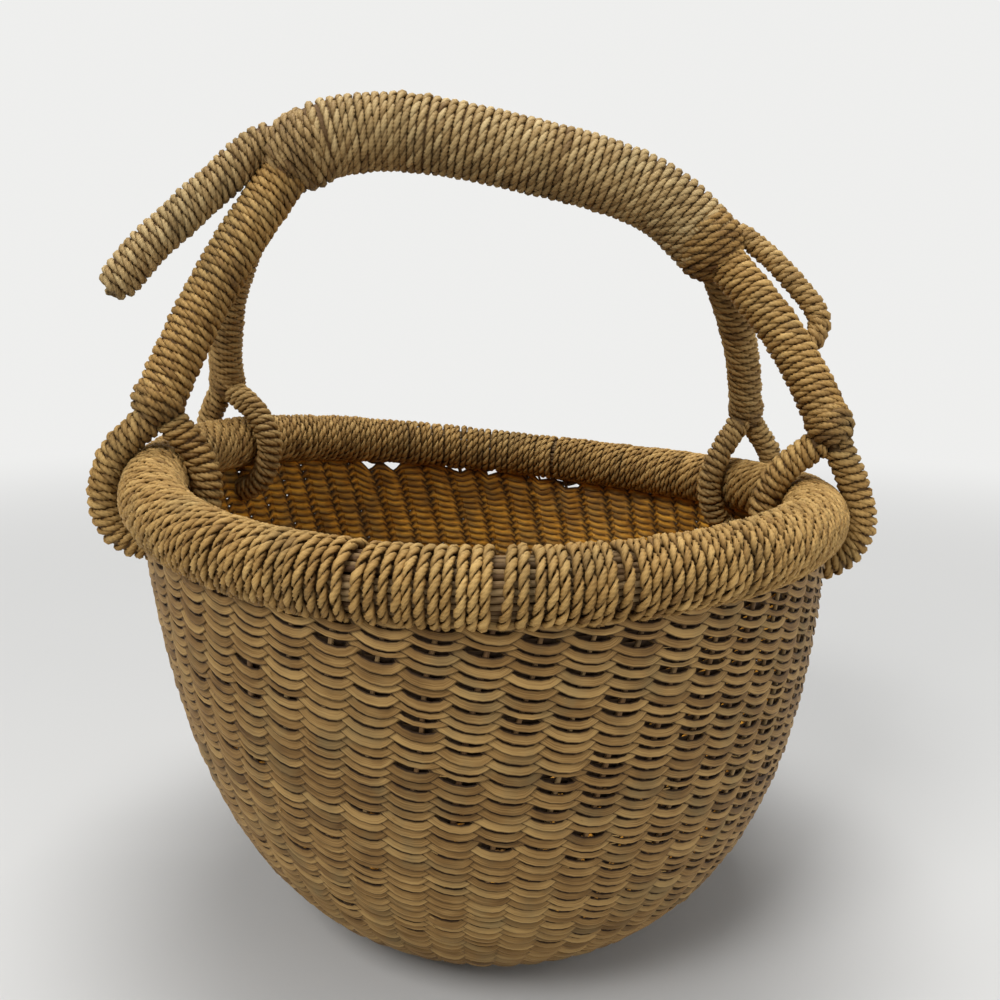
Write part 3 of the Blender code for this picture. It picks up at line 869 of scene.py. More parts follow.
        place = (2 * np.arange(periods)[:, None] + parity + path[:, 0]).reshape(-1)
        local_place, edge, width, out = (np.tile(column, periods) for column in path.T)
        shown = np.clip(1 - (local_place / self.shown_reach) ** 2, 0, 1)
        place = place + drawn(self.place_spread)
        turned = place * TURN / stakes + math.pi / self.skin.form.stake_count
        row = turned / TURN
        nominal = np.interp(row, np.arange(len(rows)), rows)
        pitch = np.interp(row, np.arange(len(rows) - 1) + 0.5, np.diff(rows))
        angle = turned - self.skin.twist(nominal)
        slit = self.slit_share(angle) * (nominal > self.slit_run)
        run = nominal + self.slit_sag * slit * np.clip(
            1 - (nominal - self.slit_run) / self.slit_fade, 0, 1)
        off = np.remainder(angle - self.slack_angle + math.pi, TURN) - math.pi
        loose = self.slack * np.exp(-(off / self.slack_width) ** 2)
        thin = np.where(shop.chance.random(periods) < self.thin_share,
                        shop.chance.uniform(*self.thin_lifts, periods), 0.0)[segment]
        thin = (thin + drawn(self.thin_spread) + loose) * np.clip(2 * shown - 0.5, 0, 1)
        rise = edge + thin + drawn(self.rise_spread) * shown
        width = width - (width - self.slit_half) * slit * (nominal < self.slit_run + pitch)
        half = (width - thin / 2) * pitch
        out = (out * MM * np.clip(self.skin.radius(run) / self.narrow_radius,
                                  self.narrow_least, 1) + drawn(self.proud_spread) * shown)
        facing = np.clip((out - self.face_middle) / self.face_depth, -1, 1)
        across = half[:, None] * np.array(self.across_shares)
        shares = np.array(self.radial_shares)
        bunched = np.clip(1 - np.abs(out) / self.bunch_reach, 0, 1)
        behind = (self.back + self.bunch_depth * bunched)[:, None]
        radial = np.where(shares > 0, self.crown, behind) * shares
        lean = (self.tilt + self.end_tilt * (1 - shown)) * facing
        normal = out[:, None] + radial - lean[:, None] * across
        up = (pitch * rise + half)[:, None] + across
        rings = self.skin.point(run[:, None] - up, self.skin.form.thickness / 2 - normal,
                                angle[:, None])
        along = place * TURN / stakes * np.maximum(self.skin.radius(run), NEAR_AXIS)
        lay = np.stack(np.broadcast_arrays(
            along[:, None] + shop.chance.uniform(0, LAY_SHIFT),
            across + parity * self.pair_shift, radial))
        straws = shop.chance.normal(0, self.straw_tone, periods // self.straw_stitches + 2)
        tone = self.base_tone + straws[segment // self.straw_stitches]
        tone = (tone + drawn(self.stitch_tone))[:, None] + np.array(self.edge_painted_light)
        # Painted shade where a straw runs into the wall, at its corners under the straw above,
        # and on hidden straws
        depth = np.clip((self.shade_start - np.abs(out)) / self.shade_depth, 0, 1)[:, None]
        depth = np.where(out[:, None] < 0, np.array(self.hidden_recesses),
                         np.maximum(depth, np.array(self.recess_shares)))
        # Painted light on the faces turned to the bowl's inside
        inside = np.clip(1 - out / self.inside_reach, 0, 1)[:, None]
        inside = inside * np.array(self.inside_shares)
        below = np.concatenate([[False], run > self.top_run, [False]])
        edges = np.flatnonzero(np.diff(below.astype(int)))
        for start, end in zip(edges[::2], edges[1::2]):
            if end - start >= self.least_rings:
                part = slice(start, end)
                mesh.add(rings[part], lay[:, part], tone[part], depth[part], inside[part])

    def straw_ends(self, shop: Workshop, rows: Array) -> bpy.types.Object:
        """Lets short cut ends poke out between the rows, where one straw gives way to the next.

        Args:
            shop: the workshop, for its chance.
            rows: the run of each row.

        Returns:
            One object with every end.
        """
        mesh = StrandMesh("cut_straw_ends")
        chance, stakes = shop.chance, self.skin.form.stake_count
        corners = corners_of(self.end_sides)
        share = np.linspace(0, 1, self.end_steps)[:, None]
        level, spread, tip = self.end_tones
        for _ in range(self.end_count):
            start = chance.uniform(*rows[list(self.end_rows)])
            run = start + share * chance.normal(0, self.end_slant)
            stake = chance.integers(stakes) + 1 + self.end_reach * (share * 2 - 0.5)
            angle = TURN / stakes * stake - self.skin.twist(run)
            size = self.end_radius * chance.uniform(*self.end_sizes) * (1 - 0.5 * share)
            out = share * chance.uniform(*self.end_lengths) * MM - self.end_sink
            across, radial = size * np.cos(corners), size * np.sin(corners)
            rings = self.skin.point(
                run - across, self.skin.form.thickness / 2 - out - radial, angle)
            mesh.add(rings, (run, across, radial), level + chance.normal(0, spread) + tip * share)
        return mesh.build()

    def build(self, shop: Workshop) -> list[bpy.types.Object]:
        """Weaves the whole bowl.

        Args:
            shop: the workshop.

        Returns:
            The parts of the wall from the top down, the base, and the cut ends.
        """
        rows = self.row_runs()
        limits = [self.skin.run_at_radius(radius) for _, radius in self.bands]
        base_row = int(np.searchsorted(rows, limits[0]))
        cuts = np.linspace(0, base_row, len(self.wall_parts) + 1).round().astype(int)
        parts = [("wall_weave_" + part, self.bands[0][0], rows[low:high + 1])
                 for part, low, high in zip(self.wall_parts, cuts, cuts[1:])]
        for (stakes, _), low, high in zip(self.bands[1:], limits, limits[1:]):
            first, last = np.searchsorted(rows, [low, high])
            parts.append(("base_weave_rings", stakes, rows[first:last + 1]))
        meshes: dict[str, StrandMesh] = {}
        for name, stakes, part in parts:
            mesh = meshes.setdefault(name, StrandMesh(name))
            for parity in range(2):
                self.add_strand(mesh, shop, stakes, part, parity)
        pieces = [mesh.build(self.sharp_degrees) for mesh in meshes.values()]
        return [*pieces, self.straw_ends(shop, rows[:base_row])]


@dataclass
class Bowl:
    """The woven bowl: its twined rows, its stakes and the crossed straws of its middle."""

    form: BowlForm
    stake_radius: float = 1.15 * MM
    stake_steps: int = 46
    stake_sides: int = 5
    stake_sway: Drift = (30 * MM, 0.004)
    stake_swell: Drift = (25 * MM, 0.12)
    stake_tone: tuple[float, float, Drift] = (0.5, 0.2, (20 * MM, 0.12))
    # Painted shade over the whole of every stake, which stands behind the weave
    stake_recess: float = 0.25
    middle_reach: float = 13 * MM
    middle_straws: int = 5
    middle_pitch: float = 3.6 * MM
    middle_steps: int = 28
    middle_width_share: float = 0.94
    middle_thickness: float = 1.0 * MM
    middle_inset: float = 1.3 * MM
    middle_wave: float = 0.55 * MM
    middle_tone: tuple[float, float] = (0.5, 0.15)

    def build(self, shop: Workshop) -> None:
        """Builds and dresses the bowl.

        Args:
            shop: the workshop.
        """
        skin = BowlSkin(self.form)
        weave = TwinedWeave(skin)
        upper, middle, lower, base, ends = weave.build(shop)
        for piece, *nodes in ((upper, "outer_weft", "inner_weft"), (middle,), (lower,),
                              (base, "base_weave"), (ends,)):
            shop.dress(piece, shop.finishes.weft, *nodes)
        shop.dress(self._stakes(skin, weave, shop), shop.finishes.stake, "wall_stakes")
        shop.dress(self._middle(shop), shop.finishes.weft)

    def _stakes(self, skin: BowlSkin, weave: TwinedWeave,
                shop: Workshop) -> bpy.types.Object:
        """Stands the stakes in the wall and runs them in over the base.

        Args:
            skin: the bowl's skin.
            weave: the weave, for how far in the stakes of each band run.
            shop: the workshop.

        Returns:
            One object with every stake.
        """
        mesh = StrandMesh("standing_stakes")
        corners = corners_of(self.stake_sides)
        for index in range(self.form.stake_count):
            band = 0 if index % 2 else 1 if index % 4 else 2
            end = skin.run_at_radius(weave.bands[band][1])
            run = np.linspace(weave.top_run, end, self.stake_steps)[:, None]
            angle = TURN * (index + 0.5) / self.form.stake_count - skin.twist(run)
            angle = angle + shop.wander(run, *self.stake_sway)
            size = self.stake_radius * (1 + shop.wander(run, *self.stake_swell))
            inward = self.form.thickness / 2 + size * np.cos(corners)
            across = size * np.sin(corners)
            rings = skin.point(run, inward,
                               angle + across / np.maximum(skin.radius(run), NEAR_AXIS))
            mesh.add(rings, (run + index, inward, across),
                     shop.straw_tone(run, *self.stake_tone), self.stake_recess)
        return mesh.build()

    def _middle(self, shop: Workshop) -> bpy.types.Object:
        """Weaves the crossed straws that the base starts from.

        Args:
            shop: the workshop.

        Returns:
            One object with the crossed straws.
        """
        mesh = StrandMesh("base_start_straws")
        half = self.middle_pitch * self.middle_width_share / 2
        section = swing(corners_of(4), half * BACK, self.middle_thickness / 2 * UP)
        step = np.linspace(-self.middle_reach, self.middle_reach, self.middle_steps)
        level, spread = self.middle_tone
        for height, way, index in product(
                (self.middle_inset, self.form.thickness - self.middle_inset), range(2),
                range(self.middle_straws)):
            off = (index - (self.middle_straws - 1) / 2) * self.middle_pitch
            wave = self.middle_wave * np.cos(math.pi * (step / self.middle_pitch + index + way))
            centre = np.stack([step, np.full_like(step, off), height + wave], axis=-1)
            rings = centre[:, None] + section
            if way:
                rings = rings[..., [1, 0, 2]] * (-1, 1, 1)
            mesh.add(rings, (step[:, None] + index + 10 * way, section[:, 1], section[:, 2]),
                     level + shop.chance.normal(0, spread))
        return mesh.build()


# Windings


@dataclass
class Route:
    """A smooth line with a frame that does not spin round it."""

    points: Array
    start_side: Place = (0.0, 0.0, 1.0)

    def __post_init__(self) -> None:
        """Measures the line and carries the side vector along it."""
        self.run = run_along(self.points)
        self.length = float(self.run[-1])
        self.tangent = unit(np.gradient(self.points, self.run, axis=0))
        side, sides = np.array(self.start_side), []
        for direction in self.tangent:
            side = unit(side - direction * side.dot(direction))
            sides.append(side)
        self.side = np.array(sides)

    @staticmethod
    def smooth(points: list[Vector], samples: int = 12) -> Array:
        """Points on a smooth curve through the given ones.

        Args:
            points: the points that it passes through.
            samples: steps between two of them.

        Returns:
            The fine points.
        """
        padded = [points[0] * 2 - points[1], *points, points[-1] * 2 - points[-2]]
        fine = []
        for p0, p1, p2, p3 in zip(padded, padded[1:], padded[2:], padded[3:]):
            for index in range(samples):
                t = index / samples
                fine.append(0.5 * (2 * p1 + (p2 - p0) * t
                                   + (2 * p0 - 5 * p1 + 4 * p2 - p3) * t ** 2
                                   + (3 * p1 - p0 - 3 * p2 + p3) * t ** 3))
        fine.append(points[-1])
        return np.array([tuple(point) for point in fine])

    def frame_at(self, run: Array) -> tuple[Array, Array, Array]:
        """The middle and two directions across, at distances along the line.

        Args:
            run: the distances.

        Returns:
            The middles, the side vectors and the vectors square to both.
        """
        def between(values: Array) -> Array:
            """Values of the line's own points, found for the distances."""
            return np.stack([np.interp(run, self.run, column) for column in values.T], axis=-1)

        centre, tangent = between(self.points), unit(between(self.tangent))
        side = between(self.side)
        side = unit(side - tangent * np.sum(side * tangent, axis=1, keepdims=True))
        return centre, side, np.cross(tangent, side)


@dataclass
class Winding:
    """A cord wound in close turns along a route, round a bundle of straws."""

    route: Route
    radius: float
    pitch: float = 4.2 * MM
    cord: TwoPlyCord = HANDLE_CORD
    end_shares: tuple[float, float] = (1.0, 1.0)
    tip_length: float = 0.0
    tip_least: float = 0.02
    pitch_spread: float = 0.05
    lift_drift: Drift = (0.4, 0.14 * MM)
    step: float = 2.1 * MM
    least_steps: int = 8
    least_reach: float = 0.4 * MM
    # Bumps under the cord: share of the route, angle round it, height
    lumps: tuple[tuple[float, float, float], ...] = ()
    lump_length: float = 4 * MM
    lump_spread: float = 0.3
    core_sink: float = 0.1 * MM
    core_step: float = 4.0 * MM
    core_ridges: int = 12
    ridge_depth: float = 0.5 * MM
    core_least: float = 0.5 * MM
    core_tone: float = 0.4
    core_patches: Drift = (20 * MM, 0.1)
    # Painted shade over the bundle, which shows between the cord's turns
    core_recess: float = 0.3

    def radius_at(self, run: Array) -> Array:
        """The winding's outer radius, which closes over a round tip.

        Args:
            run: distances along the route.

        Returns:
            The radius at each.
        """
        radius = self.radius * np.interp(run, [0, self.route.length], self.end_shares)
        if self.tip_length:
            beyond = np.clip((run - self.route.length + self.tip_length) / self.tip_length, 0, 1)
            radius = radius * np.sqrt(np.maximum(1 - beyond ** 2, self.tip_least))
        return radius

    def axis(self, shop: Workshop) -> tuple[Array, Array]:
        """The cord's middle line.

        Args:
            shop: the workshop, for its chance.

        Returns:
            The line, and the direction away from the route at each point.
        """
        turns = int(round(self.route.length / self.pitch))
        girth = TURN * (self.radius - self.cord.half)
        per_turn = max(self.least_steps, round(girth / self.step))
        turn = np.arange(turns * per_turn + 1) / per_turn
        advance = 1 + shop.chance.normal(0, self.pitch_spread, turns + 1)
        edges = np.concatenate([[0], np.cumsum(advance)])[:turns + 1]
        run = np.interp(turn, np.arange(turns + 1), edges / edges[-1] * self.route.length)
        centre, side, other = self.route.frame_at(run)
        spin = -TURN * turn
        away = swing(spin, side, other)
        reach = self.radius_at(run) - self.cord.half + shop.wander(turn, *self.lift_drift)
        for share, spot, height in self.lumps:
            near = np.exp(-((run - share * self.route.length) / self.lump_length) ** 2)
            off = np.remainder(spin - spot + math.pi, TURN) - math.pi
            reach = reach + height * near * np.exp(-off ** 2 / self.lump_spread)
        return centre + away * np.maximum(reach, self.least_reach)[:, None], away

    def build(self, name: str, shop: Workshop) -> bpy.types.Object:
        """Winds the cord.

        Args:
            name: the object's name.
            shop: the workshop.

        Returns:
            The wound cord.
        """
        mesh = StrandMesh(name)
        self.cord.add_to(mesh, *self.axis(shop), shop)
        return mesh.build()

    def build_core(self, name: str, shop: Workshop) -> bpy.types.Object:
        """Makes the bundle that the cord is wound on, ridged by its straws.

        Args:
            name: the object's name.
            shop: the workshop.

        Returns:
            The bundle.
        """
        run = np.linspace(0, self.route.length, max(4, round(self.route.length / self.core_step)))
        centre, side, other = self.route.frame_at(run)
        corners = corners_of(2 * self.core_ridges)
        ridge = self.ridge_depth * (np.arange(len(corners)) % 2)
        reach = self.radius_at(run) - self.cord.half - self.core_sink
        reach = np.maximum(reach[:, None] - ridge, self.core_least)
        rings = centre[:, None] + reach[..., None] * swing(corners, side[:, None], other[:, None])
        mesh = StrandMesh(name)
        tone = self.core_tone + shop.wander(run, *self.core_patches)
        mesh.add(rings, (run[:, None], reach * np.cos(corners), reach * np.sin(corners)),
                 tone[:, None], self.core_recess)
        return mesh.build()


@dataclass
class Rim:
    """The rim: a bundle of straws round the bowl's mouth, wound with cord."""

    form: BowlForm
    cord: TwoPlyCord = TwoPlyCord(swell=(7 * MM, 0.1), twist_drift=(35 * MM, 0.4))
    turns: int = 254
    step: float = 1.65 * MM
    pitch_mm: float = 4.2
    pitch_spread: float = 0.10
    # Drifts of the cord's angle and height, with their knots in turns
    sway: Drift = (0.37, 0.0018)
    lift_drifts: tuple[Drift, ...] = ((0.4, 0.17 * MM), (3.0, 0.2 * MM))
    straw_count: int = 26
    straw_radius: float = 1.3 * MM
    straw_steps: int = 120
    straw_sides: int = 5
    straw_lift: float = 0.2 * MM
    straw_sway: Drift = (60 * MM, 0.05)
    straw_wave: Drift = (40 * MM, 0.25 * MM)
    straw_tone: tuple[float, float, Drift] = (0.55, 0.2, (20 * MM, 0.1))
    # Wider steps between two turns: angle in degrees, and millimetres more
    gaps: tuple[tuple[float, float], ...] = ((-104.0, 2.6), (-88.6, 3.4), (-76.4, 3.0),
                                             (-122.0, 1.4), (-59.0, 1.2), (75.0, 2.0))

    def middle(self, angle: Array) -> Array:
        """The middle of the rim's tube at an angle."""
        return self.form.place(self.form.rim_radius, angle, self.form.depth)

    def angles(self, turn: Array, shop: Workshop) -> Array:
        """How far round the rim the cord is after a number of turns, with its wide gaps.

        Args:
            turn: the turns.
            shop: the workshop, for its chance.

        Returns:
            The angles.
        """
        advance = 1 + shop.chance.normal(0, self.pitch_spread, self.turns)
        nominal = (np.arange(self.turns) + 0.5) * 360 / self.turns - 180
        for place, width in self.gaps:
            advance[int(np.argmin(np.abs(nominal - place)))] += width / self.pitch_mm
        edges = np.concatenate([[0], np.cumsum(advance)])
        return np.interp(turn, np.arange(self.turns + 1), edges / edges[-1] * TURN - math.pi)

    def build(self, shop: Workshop) -> None:
        """Builds and dresses the rim.

        Args:
            shop: the workshop.
        """
        reach = self.form.rim_tube_radius - self.cord.half
        per_turn = round(TURN * reach / self.step)
        turn = np.arange(self.turns * per_turn + 1) / per_turn
        angle = self.angles(turn, shop) + shop.wander(turn, *self.sway)
        away = swing(-TURN * turn, UP, swing(angle, RIGHT, BACK))
        for drift in self.lift_drifts:
            reach = reach + shop.wander(turn, *drift)
        axis = self.middle(angle) + away * reach[:, None]
        half = len(turn) // 2
        for name, part, *nodes in (("rim_cord_front", slice(0, half + 1), "rim_winding"),
                                   ("rim_cord_back", slice(half, None))):
            mesh = StrandMesh(name)
            self.cord.add_to(mesh, axis[part], away[part], shop)
            shop.dress(mesh.build(), shop.finishes.rim_cord, *nodes)
        shop.dress(self._straws(shop), shop.finishes.core, "rim_core")

    def _straws(self, shop: Workshop) -> bpy.types.Object:
        """Lays the bundle of straws that shows through the cord's gaps.

        Args:
            shop: the workshop.

        Returns:
            One object with the straws.
        """
        mesh = StrandMesh("rim_bundle_straws")
        angle = np.linspace(-math.pi, math.pi, self.straw_steps + 1)
        out = swing(angle, RIGHT, BACK)
        corners = corners_of(self.straw_sides)
        section = self.straw_radius * np.cos(corners), self.straw_radius * np.sin(corners)
        ring = self.form.rim_tube_radius - 2 * self.cord.half - self.straw_radius
        run = angle * self.form.rim_radius
        for index in range(self.straw_count):
            turn = TURN * index / self.straw_count + shop.wander(run, *self.straw_sway)
            lift = ring + self.straw_lift + shop.wander(run, *self.straw_wave)
            centre = self.middle(angle) + swing(turn, UP, out) * lift[:, None]
            rings = centre[:, None] + self.straw_radius * swing(corners, UP, out[:, None])
            mesh.add(rings, (run[:, None] + index, *section),
                     shop.straw_tone(run[:, None], *self.straw_tone))
        return mesh.build()


@dataclass(frozen=True)
class EggWrap:
    """Spirals of cord over an egg-shaped lump, round the way that its members run."""

    centre: Vector
    along: Vector
    half: Place
    # Each spiral's tilt from the long axis, first and last latitude, and lift
    passes: tuple[tuple[float, float, float, float], ...] = ((0.0, -80.0, 80.0, 0.0),)
    cord: TwoPlyCord = SHADED_BINDING_CORD
    pitch: float = 4.2 * MM
    step: float = 2.1 * MM
    least_ring: float = 0.15
    lift_drift: Drift = (0.6, 0.18 * MM)
    core_sink: float = 0.1 * MM
    core_rings: int = 12
    core_sides: int = 20
    core_latitude: float = 1.45
    core_tone: float = 0.3
    # Painted shade that darkens the packed straw between the turns
    core_recess: float = 0.9

    def frame(self) -> Array:
        """The lump's axes.

        Returns:
            Columns that point along it, across it, and away from the front.
        """
        along = unit(np.array(tuple(self.along)))
        back = unit(BACK - along * BACK.dot(along))
        return np.stack([along, np.cross(back, along), back], axis=1)

    def build(self, name: str, shop: Workshop) -> bpy.types.Object:
        """Wraps the lump.

        Args:
            name: the object's name.
            shop: the workshop.

        Returns:
            The wrapped cord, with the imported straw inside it.
        """
        mesh = StrandMesh(name)
        frame, middle = self.frame(), np.array(tuple(self.centre))
        sizes = np.array(self.half) - self.cord.half
        girth = float(np.mean(sizes[1:]))
        self._add_core(mesh, frame, middle, sizes - self.core_sink)
        for *degrees, raised in self.passes:
            lean, start, end = (math.radians(value) for value in degrees)
            pole = np.array([math.cos(lean), math.sin(lean), 0.0])
            first = np.array([-math.sin(lean), math.cos(lean), 0.0])
            turns = max(1, round(sizes[0] * (end - start) / self.pitch))
            latitude, angle = [start], [0.0]
            while latitude[-1] < end:
                level = max(math.cos(latitude[-1]), self.least_ring)
                move = self.step / (girth * level)
                angle.append(angle[-1] - move)
                latitude.append(latitude[-1] + (end - start) / turns * move / TURN)
            spin = np.array(angle)
            ball = swing(np.array(latitude), swing(spin, first, UP), pole)
            grown = sizes + raised + shop.wander(-spin, *self.lift_drift)[:, None]
            away = unit(ball / grown) @ frame.T
            self.cord.add_to(mesh, (ball * grown) @ frame.T + middle, away, shop)
        return mesh.build()

    def _add_core(self, mesh: StrandMesh, frame: Array, middle: Array, sizes: Array) -> None:
        """Adds the dark packed straw that shows between turns, darkened further by painted shade.

        Args:
            mesh: the mesh that takes it.
            frame: the lump's axes.
            middle: its middle.
            sizes: its half sizes.
        """
        latitude = np.linspace(-self.core_latitude, self.core_latitude, self.core_rings)
        round_it = swing(corners_of(self.core_sides), BACK, UP)
        ball = swing(latitude[:, None], round_it, RIGHT) * sizes
        mesh.add(ball @ frame.T + middle, tuple(np.moveaxis(ball, -1, 0)), self.core_tone,
                 self.core_recess)


@dataclass(frozen=True)
class Leg:
    """One leg of the handle, with the loop of its foot round the rim."""

    name: str
    side: int
    angle_degrees: float
    leg_radius: float
    foot_radius: float
    fork_height: float
    fork_drop: float
    fork_outset: float
    bow_share: float
    reach_shares: tuple[tuple[float, float], ...]


@dataclass
class Handle:
    """The wound arch with its bindings, legs, feet, finger and curl."""

    form: BowlForm
    rise: float = 183.0 * MM
    arch_radius: float = 20.0 * MM
    arch_end_shares: tuple[float, float] = (0.99, 0.92)
    arch_points: tuple[Place, ...] = (
        (-0.56, 0.055, 0.935), (-0.50, 0.060, 0.968), (-0.42, 0.080, 0.988),
        (-0.30, 0.100, 1.000), (-0.18, 0.100, 0.991), (-0.06, 0.100, 0.975),
        (0.135, 0.100, 0.936), (0.296, 0.100, 0.902), (0.458, 0.100, 0.852),
        (0.567, 0.095, 0.792), (0.665, 0.090, 0.705))
    arch_lumps: tuple[tuple[float, float, float], ...] = (
        (0.235, math.radians(40), 1.6 * MM), (0.30, math.radians(20), 1.3 * MM))
    left_half: Place = (21.0 * MM, 19.0 * MM, 22.5 * MM)
    left_along: Place = (0.74, 0.0, 0.67)
    left_shift: Place = (1.5 * MM, 0.0, 1.5 * MM)
    left_passes: tuple[tuple[float, float, float, float], ...] = (
        (0.0, -80.0, 80.0, 0.0), (-10.0, -50.0, -20.0, 1.2 * MM))
    right_half: Place = (22.0 * MM, 18.6 * MM, 20.5 * MM)
    right_along: Place = (0.58, 0.0, -0.81)
    leg_pitch: float = 4.3 * MM
    fork_lookback: int = 5
    fork_half_length: float = 13.0 * MM
    fork_margin: float = 1.0 * MM
    foot_apart_share: float = 0.6
    clearance: float = 0.3 * MM
    leg_point_shares: tuple[float, ...] = (0.0, 0.2, 0.4, 0.6, 0.8, 1.0)
    finger_radius: float = 10.0 * MM
    finger_points: tuple[Place, ...] = (
        (-0.64, 0.035, 0.962), (-0.71, 0.000, 0.914), (-0.77, -0.030, 0.853),
        (-0.84, -0.060, 0.790), (-0.90, -0.090, 0.730), (-0.96, -0.120, 0.672),
        (-1.01, -0.140, 0.614), (-1.043, -0.150, 0.573), (-1.066, -0.157, 0.544))
    finger_tip: float = 9.0 * MM
    curl_radius: float = 6.0 * MM
    curl_pitch: float = 3.9 * MM
    curl_points: tuple[Place, ...] = (
        (0.745, 0.100, 0.740), (0.835, 0.050, 0.675), (0.900, 0.000, 0.605),
        (0.957, -0.040, 0.535), (0.978, -0.060, 0.485), (0.955, -0.080, 0.435),
        (0.905, -0.095, 0.410))
    legs: tuple[Leg, ...] = (
        Leg("front_left", -1, 193.0, 12.4 * MM, 8.2 * MM, 38.0 * MM, 9.0 * MM, -3.0 * MM, 0.037,
            ((48, 0.95), (82, 0.96), (115, 1.15), (145, 1.38), (175, 1.42),
             (205, 1.32), (235, 1.12), (268, 0.97), (302, 0.95))),
        Leg("front_right", 1, -12.0, 11.0 * MM, 7.8 * MM, 43.0 * MM, 10.0 * MM, 5.5 * MM, 0.062,
            ((46, 1.04), (80, 0.97), (109, 1.06), (138, 1.18), (165, 1.22),
             (195, 1.18), (228, 1.08), (265, 0.98), (300, 0.95), (328, 1.05))),
        Leg("back_left", -1, 154.0, 10.0 * MM, 7.6 * MM, 37.0 * MM, 6.0 * MM, 7.0 * MM, 0.095,
            ((50, 1.14), (85, 1.05), (120, 1.15), (150, 1.26), (180, 1.26),
             (215, 1.14), (250, 1.02), (285, 0.99), (325, 1.00))),
        Leg("back_right", 1, 24.0, 9.8 * MM, 7.2 * MM, 46.0 * MM, 8.0 * MM, 0.0, 0.050,
            ((45, 1.18), (85, 1.06), (120, 1.15), (150, 1.26), (180, 1.26),
             (215, 1.14), (250, 1.04), (285, 1.04), (320, 1.16))))

    def place(self, across: float, back: float, rise: float) -> Vector:
        """A point of the handle, from shares of the rim's radius and of the arch's rise."""
        return Vector((across * self.form.rim_radius - self.form.lean,
                       back * self.form.rim_radius, self.form.depth + rise * self.rise))

    def rim_frame(self, leg: Leg) -> tuple[Vector, Vector]:
        """Where a foot grips the rim.

        Args:
            leg: the foot's leg.

        Returns:
            The rim's middle there, and the outward direction.
        """
        angle = math.radians(leg.angle_degrees)
        middle = self.form.place(self.form.rim_radius, angle, self.form.depth)
        return Vector(middle), Vector((math.cos(angle), math.sin(angle), 0))

    def fork_place(self, leg: Leg) -> Vector:
        """The middle of a leg's fork, above the rim."""
        middle, outward = self.rim_frame(leg)
        return middle + outward * leg.fork_outset + Vector((0, 0, leg.fork_height))

    def leg_route(self, leg: Leg, start: Vector) -> Array:
        """A leg's middle line, bowed outwards.

        Args:
            leg: the leg.
            start: the middle of the binding that it leaves.

        Returns:
            Fine points down to its fork.
        """
        reach = self.fork_place(leg) - start
        bow = Vector((leg.side, 0, 0)) * reach.length * leg.bow_share
        return Route.smooth([start + reach * share + bow * math.sin(math.pi * share)
                             for share in self.leg_point_shares])

    def foot_route(self, leg: Leg) -> Array:
        """A foot's loop: out of the fork, down outside the rim, and up inside.

        Args:
            leg: the leg.

        Returns:
            Fine points round the loop.
        """
        middle, outward = self.rim_frame(leg)
        apart = outward * leg.foot_radius * self.foot_apart_share
        closest = self.form.rim_tube_radius + leg.foot_radius + self.clearance
        fork = self.fork_place(leg) - Vector((0, 0, leg.fork_drop))
        points = [fork + apart]
        for degrees, share in leg.reach_shares:
            turn = math.radians(degrees)
            reach = outward * math.sin(turn) + Vector((0, 0, math.cos(turn)))
            points.append(middle + reach * closest * share)
        points.append(fork - apart)
        return Route.smooth(points)

    def build(self, shop: Workshop) -> None:
        """Builds and dresses the handle.

        Args:
            shop: the workshop.
        """
        points = [self.place(*shares) for shares in self.arch_points]
        left, right = points[0], points[-1]
        cord, golden = shop.finishes.cord, shop.finishes.rim_cord
        # The back legs and the curl take the cord's copy with painted shade
        smooth = shop.finishes.shaded_cord
        self._wind(shop, "arch", cord, Winding(
            Route(Route.smooth(points)), self.arch_radius, end_shares=self.arch_end_shares,
            lumps=self.arch_lumps))
        left_wrap = EggWrap(left + Vector(self.left_shift), Vector(self.left_along),
                            self.left_half, self.left_passes)
        shop.dress(left_wrap.build("left_binding_cord", shop), cord, "left_binding")
        right_wrap = EggWrap(right, Vector(self.right_along), self.right_half)
        shop.dress(right_wrap.build("right_binding_cord", shop), golden, "right_binding")
        for leg in self.legs:
            start = left if leg.side < 0 else right
            finish = golden if leg.name.startswith("front") else smooth
            self._build_leg(leg, start, finish, shop)
        fingers = Route.smooth([left, *(self.place(*at) for at in self.finger_points)])
        self._wind(shop, "finger", cord, Winding(
            Route(fingers), self.finger_radius, tip_length=self.finger_tip))
        curls = Route.smooth([right, *(self.place(*at) for at in self.curl_points)])
        self._wind(shop, "curl", smooth, Winding(
            Route(curls), self.curl_radius, pitch=self.curl_pitch))

    def _wind(self, shop: Workshop, name: str, finish: StrandFinish,
              winding: Winding) -> None:
        """Builds and dresses a member's cord and the straws inside it.

        Args:
            shop: the workshop.
            name: the member's name, as its solids have it.
            finish: the cord's finish.
            winding: how it is wound.
        """
        shop.dress(winding.build(name + "_cord", shop), finish, name + "_winding")
        shop.dress(winding.build_core(name + "_straws", shop), shop.finishes.core,
                   name + "_core")

